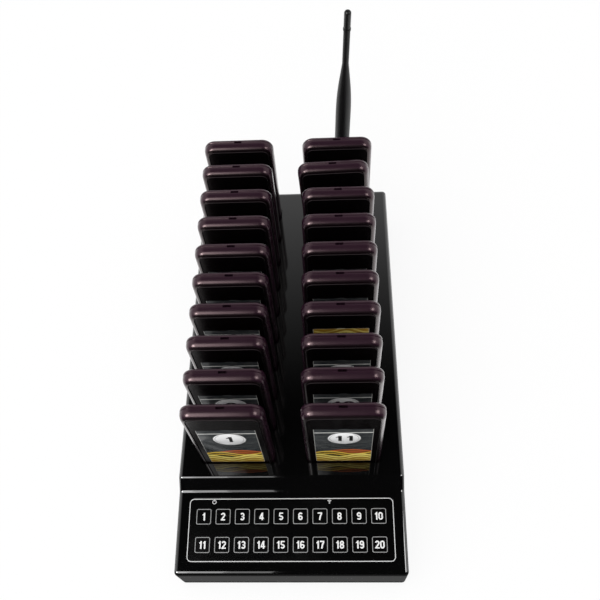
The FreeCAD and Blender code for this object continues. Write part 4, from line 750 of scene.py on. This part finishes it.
# %% Pager shells
TOP_HALF = (2.95, 2.85, 2.80, 2.70, 2.60, 2.25, 1.6, 0.8)
TOP_POINTS = (*TOP_HALF, 0.0, *(-x for x in reversed(TOP_HALF)))
SEAM_GAP = 0.02
SEAM_BEVEL = 0.30
FRONT_ROUND = (3.3, 5.45)
REAR_ROUND = (2.4, 2.4)
ROUND_STEPS = 10
OUTER_CORNER = 8.5
PANEL = PANEL_WIDTH, PANEL_HEIGHT, PANEL_CORNER, PANEL_MIDDLE = 46.3, 95.5, 5.2, 52.75
PANEL_DEPTH = 6.3
PANEL_WALL = 0.75
RIM_FOOT = 6.45
RIM = ((0.02, 6.47), (0.06, 6.64), (0.16, 6.75), (0.34, 6.80), (0.48, 6.75), (0.56, 6.62), (0.60, 6.50))
WINDOW = WINDOW_WIDTH, WINDOW_HEIGHT, WINDOW_CORNER, WINDOW_MIDDLE = 38.6, 66.3, 0.6, 47.95
SEAT_DEPTH = 5.95
THUMB_HALF_WIDTH = 2.80
THUMB_RISE = 1.5
STRAP_HALF_WIDTH = 2.70
STRAP_DROP = 4.0
STRAP_WALL = 0.02


def upright(points, depth):
    """Stands flat points up, with depth counted towards the front."""
    return [Vector((x, -depth, z)) for x, z in points]


def body_ring(inset, depth, notched=False):
    """The pager's outline moved inwards, at a depth. A notched ring has the strap slot in its top."""
    points = outline(PAGER_WIDTH, PAGER_HEIGHT, OUTER_CORNER, PAGER_MIDDLE, TOP_POINTS, inset)
    if notched:
        low = PAGER_HEIGHT - STRAP_DROP
        points = [(x, low if abs(x) <= STRAP_HALF_WIDTH and z > low else z) for x, z in points]
    return upright(points, depth)


def panel_ring(inset, depth):
    """The sunk panel's outline moved inwards, at a depth."""
    return upright(outline(*PANEL, TOP_POINTS, inset), depth)


def window_ring(depth):
    """The label's window with its thumb notch."""
    top = WINDOW_MIDDLE + WINDOW_HEIGHT / 2
    points = []
    for x, z in outline(*WINDOW, TOP_POINTS):
        share = max(0.0, 1 - (x / THUMB_HALF_WIDTH) ** 2) if z == top else 0.0
        points.append((x, z + THUMB_RISE * math.sqrt(share)))
    return upright(points, depth)


def side_rings(size, way, length):
    """Rings from the parting line along one shell's side and over a quarter of an ellipse."""
    inwards, outwards = size
    start = length - outwards
    rings = [body_ring(SEAM_BEVEL, way * SEAM_GAP, True), body_ring(0.0, way * (SEAM_GAP + SEAM_BEVEL), True)]
    rings += [body_ring(0.0, way * start, True), body_ring(0.0, way * (start + STRAP_WALL))]
    for step in range(1, ROUND_STEPS + 1):
        angle = math.radians(90.0 * step / ROUND_STEPS)
        rings.append(body_ring(inwards * (1 - math.cos(angle)), way * (start + outwards * math.sin(angle))))
    return rings


front_rings = side_rings(FRONT_ROUND, 1, RIM_FOOT) + [panel_ring(inset, depth) for inset, depth in RIM]
front_rings += [panel_ring(PANEL_WALL, PANEL_DEPTH), window_ring(PANEL_DEPTH), window_ring(SEAT_DEPTH)]
front_shell = loft("pager_front_shell", front_rings, smooth_below=40.0)
rear_shell = loft("pager_rear_shell", side_rings(REAR_ROUND, -1, REAR_DEPTH))
print("front shell has", len(front_shell.polygons), "faces, rear shell", len(rear_shell.polygons))

# %% [markdown]
# The faces from the panel inwards are black, so they get the second material slot of the mesh, and the
# fine rim gets the third. They are told apart by where they lie: the rim stands further out than all the
# rest, and the panel lies inside its outline.

# %% Black face in the aubergine shell
RIM_BEGINS = RIM_FOOT + 0.01
PANEL_MARGIN = 0.3


def face_slot(mesh, face):
    """0 for the shell, 1 for the black panel and 2 for the rim round it."""
    corners = [mesh.vertices[index].co / MM for index in face.vertices]
    if all(-corner.y > RIM_BEGINS for corner in corners):
        return 2
    half_width, half_height = PANEL_WIDTH / 2 - PANEL_MARGIN, PANEL_HEIGHT / 2 - PANEL_MARGIN
    inside = [abs(corner.x) < half_width and abs(corner.z - PANEL_MIDDLE) < half_height for corner in corners]
    return int(all(inside))


for finish in (aubergine, bezel_black, panel_rim):
    front_shell.materials.append(finish)
for face in front_shell.polygons:
    face.material_index = face_slot(front_shell, face)
slots = [face.material_index for face in front_shell.polygons]
print("shell, panel and rim have", [slots.count(slot) for slot in range(3)], "faces")

# %% [markdown]
# The label is a printed card; its clear cover is not built, and the card's own smooth skin stands for it.
# The print has slate-dark boards with fine streaks at the top, a pale rule across, and along the foot
# three low dunes in rust, gold and straw, each a curve that rises and falls over the card. All of it is
# worked out from the place on the card, so it needs no picture file.

# %% Label print
LABEL_WIDTH = 38.4
LABEL_HEIGHT = 66.1
SLATE_DARK = rgb(0.011, 0.014, 0.017)
SLATE_LIGHT = rgb(0.060, 0.063, 0.062)
SLATE_FLECK = rgb(0.13, 0.135, 0.13)
RULE_PALE = rgb(0.55, 0.55, 0.53)
RULE_ABOVE_MIDDLE = 27.2
RULE_EDGE = (0.80, 0.45)
MARGIN_PALE = rgb(0.36, 0.36, 0.34)
MARGIN_EDGE = (0.50, 0.25)
DUNES = (
    (-9.6, 2.6, 0.12, 1.1, rgb(0.42, 0.100, 0.030), rgb(0.10, 0.040, 0.014)),
    (-13.2, 3.2, 0.17, 3.4, rgb(0.62, 0.42, 0.060), rgb(0.040, 0.026, 0.010)),
    (-19.6, 3.0, 0.21, 5.4, rgb(0.84, 0.74, 0.200), rgb(0.32, 0.18, 0.022)),
)
DUNE_EDGE = 0.15
RIPPLE_PACE, RIPPLE_BEND, RIPPLE_STRENGTH = 1.25, 7.0, 1.9
SHADE_PACE, SHADE_FROM, SHADE_TO = 0.25, -1.0, 3.2


def card_point(tree):
    """Where a point lies on a card in millimetres, whole and axis by axis."""
    feeds = {0: object_point(tree), "Scale": 1.0 / MM}
    card = add_node(tree, "VectorMath", feeds, operation="SCALE").outputs[0]
    return card, add_node(tree, "SeparateXYZ", {0: card}).outputs


def drawn_out(tree, card, scale, size, detail):
    """Noise that is stretched along the card."""
    point = add_node(tree, "Mapping", {"Vector": card, "Scale": scale}).outputs["Vector"]
    return noise(tree, point, size, detail=detail, roughness=0.7)


def dunes(tree, colour, x, z, streaks):
    """Lays each dune over the colour so far: a crest that swings, wind ripples, and shade lower down."""
    for crest, swing, pace, start, bright, deep in DUNES:
        wave = calculate(tree, "SINE", calculate(tree, "MULTIPLY_ADD", x, pace, start))
        line = calculate(tree, "MULTIPLY_ADD", wave, swing, crest)
        depth = calculate(tree, "SUBTRACT", line, z)
        bent = calculate(tree, "MULTIPLY_ADD", streaks, RIPPLE_BEND, product(tree, depth, RIPPLE_PACE))
        ripple = calculate(tree, "SINE", bent)
        ripple = calculate(tree, "MULTIPLY_ADD", ripple, RIPPLE_STRENGTH, product(tree, depth, SHADE_PACE))
        dune = mix_colours(tree, step_between(tree, ripple, SHADE_FROM, SHADE_TO), bright, deep)
        colour = mix_colours(tree, step_between(tree, depth, -DUNE_EDGE, DUNE_EDGE), colour, dune)
    return colour


def make_label_print():
    """Slate boards, a pale rule, fine pale edges and three dunes, with a smooth skin."""
    material, tree, shader = new_material("label_print")
    card, parts = card_point(tree)
    x, z = parts["X"], parts["Z"]
    streaks = drawn_out(tree, card, (0.10, 1.0, 1.6), 1.1, 6.0)
    hairs = drawn_out(tree, card, (0.05, 1.0, 2.4), 2.2, 3.0)
    specks = noise(tree, card, 2.6, detail=2.0)
    boards = mix_colours(tree, step_between(tree, streaks, 0.36, 0.68), SLATE_DARK, SLATE_LIGHT)
    flecks = step_between(tree, hairs, 0.60, 0.72), step_between(tree, specks, 0.66, 0.74)
    pale = product(tree, calculate(tree, "MAXIMUM", *flecks), 0.55)
    picture = dunes(tree, mix_colours(tree, pale, boards, SLATE_FLECK), x, z, streaks)
    wobble = calculate(tree, "MULTIPLY_ADD", streaks, 1.2, z)
    from_rule = calculate(tree, "ABSOLUTE", calculate(tree, "SUBTRACT", wobble, RULE_ABOVE_MIDDLE))
    rule = product(tree, step_between(tree, from_rule, *RULE_EDGE), 0.9)
    printed = mix_colours(tree, rule, picture, RULE_PALE)
    from_side = calculate(tree, "SUBTRACT", LABEL_WIDTH / 2, calculate(tree, "ABSOLUTE", x))
    from_foot = calculate(tree, "ADD", z, LABEL_HEIGHT / 2)
    margin = step_between(tree, calculate(tree, "MINIMUM", from_side, from_foot), *MARGIN_EDGE)
    edged = mix_colours(tree, product(tree, margin, 0.8), printed, MARGIN_PALE)
    lay_skin(tree, shader, edged, 0.17, 1200.0, 1, 0.10, 60.0, 0.3, Specular_IOR_Level=0.09)
    return material


label_print = make_label_print()
print("label print has", len(label_print.node_tree.nodes), "nodes")

# %% [markdown]
# On the label sits a round white badge with a black rim and, inside it, a fine grey ring that is broken
# at the top and the bottom. Both are colours by distance from the middle. The pager's number stands on
# it in the keys' figures, larger and wider.

# %% Label card and badge
LABEL_ORIGIN = 6.0
LABEL_BACK = 5.97
LABEL_FRONT = 6.22
LABEL_CORNER = 0.5
LABEL_BEVEL = 0.05
BADGE_RADIUS = 11.3
BADGE_WHITE_RADIUS = 10.7
BADGE_RING_RADIUS = 9.5
BADGE_RING_EDGE = (0.22, 0.12)
BADGE_RING_GAP = (5.0, 6.5)
BADGE_ASIDE = 0.55
BADGE_MIDDLE = 63.7
BADGE_THICKNESS = 0.12
BADGE_BEVEL = (0.04, 0.03)
BADGE_FIGURE = {"height": 9.8, "gap": 0.16, "widening": 1.18}


def label_ring(inset, depth):
    """The card's outline moved inwards, at a depth in the pager."""
    points = outline(LABEL_WIDTH, LABEL_HEIGHT, LABEL_CORNER, inset=inset)
    return upright(points, depth - LABEL_ORIGIN)


def make_badge_print():
    """White face, black rim and a fine broken ring, by distance from the middle."""
    material, tree, shader = new_material("badge_print")
    parts = card_point(tree)[1]
    flat = add_node(tree, "CombineXYZ", {0: parts["X"], 2: parts["Z"]}).outputs[0]
    radius = add_node(tree, "VectorMath", {0: flat}, operation="LENGTH").outputs["Value"]
    from_ring = calculate(tree, "ABSOLUTE", calculate(tree, "SUBTRACT", radius, BADGE_RING_RADIUS))
    beside = step_between(tree, calculate(tree, "ABSOLUTE", parts["X"]), *BADGE_RING_GAP)
    ring = product(tree, step_between(tree, from_ring, *BADGE_RING_EDGE), beside)
    face = mix_colours(tree, product(tree, ring, 0.75), drifting(tree, grey(0.84), 0.05), grey(0.10))
    rim = step_between(tree, radius, BADGE_WHITE_RADIUS - 0.06, BADGE_WHITE_RADIUS + 0.06)
    colour = mix_colours(tree, rim, face, grey(0.005))
    cover = {"Coat_Weight": 0.3, "Coat_Roughness": 0.08}
    lay_skin(tree, shader, colour, 0.32, 1200.0, 2, 0.12, 60.0, 0.3, **cover)
    return material


label_rings = [label_ring(0.0, LABEL_BACK), label_ring(0.0, LABEL_FRONT - LABEL_BEVEL)]
label_card = loft("pager_label", label_rings + [label_ring(LABEL_BEVEL, LABEL_FRONT)], smooth_below=60.0)
badge_print = make_badge_print()
badge_sides = ((0.0, 0.0), (0.0, BADGE_THICKNESS - BADGE_BEVEL[1]), (BADGE_BEVEL[0], BADGE_THICKNESS))
badge_rings = [upright(circle(BADGE_RADIUS - inset), depth) for inset, depth in badge_sides]
badge_disc = loft("pager_badge", badge_rings, smooth_below=60.0)
print("badge disc has", len(badge_disc.polygons), "faces")

# %% [markdown]
# In the bottom edge two gold contacts meet the charging pins of the slot. They are small plates with
# rounded corners, let in almost flush, and both belong to one mesh.

# %% Contacts
CONTACT_OFFSET = 10.0
CONTACT_SIZE = (5.0, 2.2, 0.5)
CONTACT_RINGS = ((1.0, 0.9), (1.0, 0.06), (0.96, -0.02))
CONTACT_DEPTH = (FRONT_DEPTH - REAR_DEPTH) / 2


def contact_plate(side):
    """One contact, as rings of a share of its size at a height."""
    points = outline(*CONTACT_SIZE)
    rings = [
        [Vector((x * share + side * CONTACT_OFFSET, y * share - CONTACT_DEPTH, z)) for x, y in points]
        for share, z in CONTACT_RINGS
    ]
    return loft("contact", rings)


contact_plates = joined("pager_contacts", [contact_plate(-1), contact_plate(1)])
print("contacts:", len(contact_plates.polygons), "faces")

# %% [markdown]
# Now the pagers are put together. Each set stands in its own pager's frame and rides on that pager's
# body, so it lifts out as one thing. The front shell stands for the whole solid pager, which is then
# hidden. Two labels were put in upside down, badge and all: a half turn about the label's middle.

# %% Put the pagers together
UPSIDE_DOWN = (7, 14)
FACE_OUT = Matrix(((1, 0, 0, 0), (0, 0, -1, 0), (0, 1, 0, 0), (0, 0, 0, 1)))


def shift(x, depth, z):
    """A move in a pager's frame, in millimetres, with depth counted towards the front."""
    return Matrix.Translation((x * MM, -depth * MM, z * MM))


for number, (name, place) in enumerate(pager_places.items(), 1):
    turned = Matrix.Rotation(math.pi, 4, "Y") if number in UPSIDE_DOWN else Matrix.Identity(4)
    card_place = place @ shift(0.0, LABEL_ORIGIN, WINDOW_MIDDLE) @ turned
    badge_place = card_place @ shift(BADGE_ASIDE, LABEL_FRONT - LABEL_ORIGIN, BADGE_MIDDLE - WINDOW_MIDDLE)
    figure_place = badge_place @ shift(0.0, BADGE_THICKNESS, 0.0) @ FACE_OUT
    figure = number_mesh(name + "_figure", str(number), **BADGE_FIGURE)
    shell = add_piece(name + "_front_shell", front_shell, name, place, aubergine)
    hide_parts(name)
    for part, mesh, spot, finish in (
        ("_rear_shell", rear_shell, place, aubergine),
        ("_label", label_card, card_place, label_print),
        ("_badge", badge_disc, badge_place, badge_print),
        ("_number", figure, figure_place, ink_black),
    ):
        add_piece(name + part, mesh, name, spot, finish)
    add_piece(name + "_contacts", contact_plates, name, place, contact_gold)
print("put together", len(NUMBERS), "pagers")

# %% [markdown]
# The counter is a plain pale sheet. To the camera most of its brightness is its own, so it runs into the
# white of the room without an edge and still keeps a soft shadow under the unit. In reflections it is
# white too, but only as far as the unit's front, and a surface that lies close over it sees a painted
# shadow of the unit there, darker the shorter the reflected ray.

# %% Counter
CAMERA_GLOW = 0.86
DARK_TO_LIGHT = (-0.171, -0.164)
DARK_COUNTER = 0.10
LIGHT_COUNTER = 1.6
SHADED_TO_CLEAR = (0.075, 0.100)
COUNTER_HALF = 6.0


def make_counter_white():
    """Matt white that brightens itself for the camera and shows reflections a light and a dark side."""
    material, tree, shader = new_material("counter_white")
    shader.inputs["Base Color"].default_value = grey(0.90)
    shader.inputs["Roughness"].default_value = 0.9
    path = add_node(tree, "LightPath").outputs
    mirrored = calculate(tree, "MAXIMUM", path["Is Glossy Ray"], path["Is Transmission Ray"])
    # Painted shadow: reflected rays that reach the counter after a short run see it darker, for the unit's
    # shadow.
    away = step_between(tree, path["Ray Length"], *SHADED_TO_CLEAR)
    behind = product(tree, step_between(tree, object_axis(tree, "Y"), *DARK_TO_LIGHT), LIGHT_COUNTER)
    behind = calculate(tree, "MAXIMUM", product(tree, behind, away), DARK_COUNTER)
    glow = add_node(tree, "Emission", {"Strength": mix_numbers(tree, mirrored, 1.0, behind)})
    share = calculate(tree, "MAXIMUM", mirrored, product(tree, path["Is Camera Ray"], CAMERA_GLOW))
    both = add_node(tree, "MixShader", {0: share, 1: shader.outputs[0], 2: glow.outputs[0]})
    tree.links.new(both.outputs[0], tree.nodes["Material Output"].inputs["Surface"])
    return material


counter_shape = bmesh.new()
bmesh.ops.create_grid(counter_shape, x_segments=4, y_segments=4, size=COUNTER_HALF)
counter = bpy.data.objects.new("counter", finished_mesh("counter", counter_shape, 35.0))
counter.data.materials.append(make_counter_white())
scene.collection.objects.link(counter)
print("counter is", 2 * COUNTER_HALF, "m wide")

# %% [markdown]
# A black mirror shows the room rather than itself. The room is white near the horizon at the sides and
# behind, and dark overhead and in front. Only reflections see it: the camera sees plain white, and matt
# surfaces get an even light with more of it from above and from low in front. Each of those two is a
# lobe: a strength, the way it comes from, and the angles round it where it ends and where it is full.

# %% Room
EVEN_LIGHT = 0.24
TOP_LIGHT = (1.65, (-0.17, -0.17, 0.97), 62.0, 20.0)
FRONT_LIGHT = (1.9, (-0.20, -0.95, 0.22), 34.0, 12.0)
WHITE_BELOW = math.sin(math.radians(44.0))
DARK_ABOVE = math.sin(math.radians(70.0))
SIDES_FROM = -0.10
FRONT_FROM = -0.45


def lobe(tree, way, strength, middle, edge, core):
    """Light from round a middle way: full within the core angle, fading out to the edge angle."""
    towards = add_node(tree, "VectorMath", {0: way, 1: middle}, operation="DOT_PRODUCT")
    ends = [math.cos(math.radians(angle)) for angle in (edge, core)]
    return product(tree, step_between(tree, towards.outputs["Value"], *ends), strength)


def make_room():
    """A world that is white to the camera, a shaded room to reflections, soft light to matt surfaces."""
    world = bpy.data.worlds.new("studio_room")
    world.use_nodes = True
    tree = world.node_tree
    way = add_node(tree, "TexCoord").outputs["Generated"]
    parts = add_node(tree, "SeparateXYZ", {0: way}).outputs
    low = step_between(tree, parts["Z"], DARK_ABOVE, WHITE_BELOW)
    shaded = product(tree, low, step_between(tree, parts["Y"], FRONT_FROM, SIDES_FROM))
    lobes = calculate(tree, "ADD", lobe(tree, way, *TOP_LIGHT), lobe(tree, way, *FRONT_LIGHT))
    soft = calculate(tree, "ADD", lobes, EVEN_LIGHT)
    path = add_node(tree, "LightPath").outputs
    lit = mix_numbers(tree, path["Is Glossy Ray"], soft, shaded)
    seen = calculate(tree, "MAXIMUM", path["Is Camera Ray"], path["Is Transmission Ray"])
    background = tree.nodes["Background"].inputs
    tree.links.new(mix_numbers(tree, seen, lit, 1.0), background["Strength"])
    background["Color"].default_value = grey(1.0)
    return world


scene.world = make_room()
print("room:", scene.world.name)

# %% [markdown]
# Soft boxes draw the highlights. The large one hangs in front and to the left and makes the bright band
# along the top of each pager. Its cloth glows less towards the right edge, which two strips beside it
# stand for. Two small lamps only pick out the pagers' round corners. All are seen in reflections alone.
# An area lamp of radiance L and area A needs a power of pi times L times A.

# %% Soft boxes
UNIT_MIDDLE = Vector((0.0, 0.0, 0.06))
LEFT_BOX = (-0.60, -0.77, 1.30)


def soft_box(name, spot, width, height, radiance, aside=0.0):
    """An area lamp that faces the unit and shows in its gloss. Aside moves it to its right."""
    lamp = bpy.data.lights.new(name, "AREA")
    lamp.shape = "RECTANGLE"
    lamp.size, lamp.size_y = width, height
    lamp.energy = math.pi * radiance * width * height
    box = bpy.data.objects.new(name, lamp)
    away = (Vector(spot) - UNIT_MIDDLE).normalized()
    up = away.cross(ACROSS).normalized()
    right = up.cross(away)
    turn = Matrix((right, up, away)).transposed()
    box.matrix_world = Matrix.Translation(Vector(spot) + right * aside) @ turn.to_4x4()
    box.visible_diffuse = False
    box.visible_camera = False
    scene.collection.objects.link(box)


soft_box("soft_box_left", LEFT_BOX, 0.68, 1.0, 6.4, -0.10)
soft_box("soft_box_left_edge", LEFT_BOX, 0.10, 1.0, 4.2, 0.29)
soft_box("soft_box_left_rim", LEFT_BOX, 0.14, 1.0, 1.9, 0.41)
soft_box("corner_lamp_left", (-0.97, -0.63, 0.95), 0.42, 0.42, 34.0)
soft_box("corner_lamp_right", (1.04, -0.385, 1.17), 0.60, 0.60, 9.0)
print("lamps:", len(bpy.data.lights))
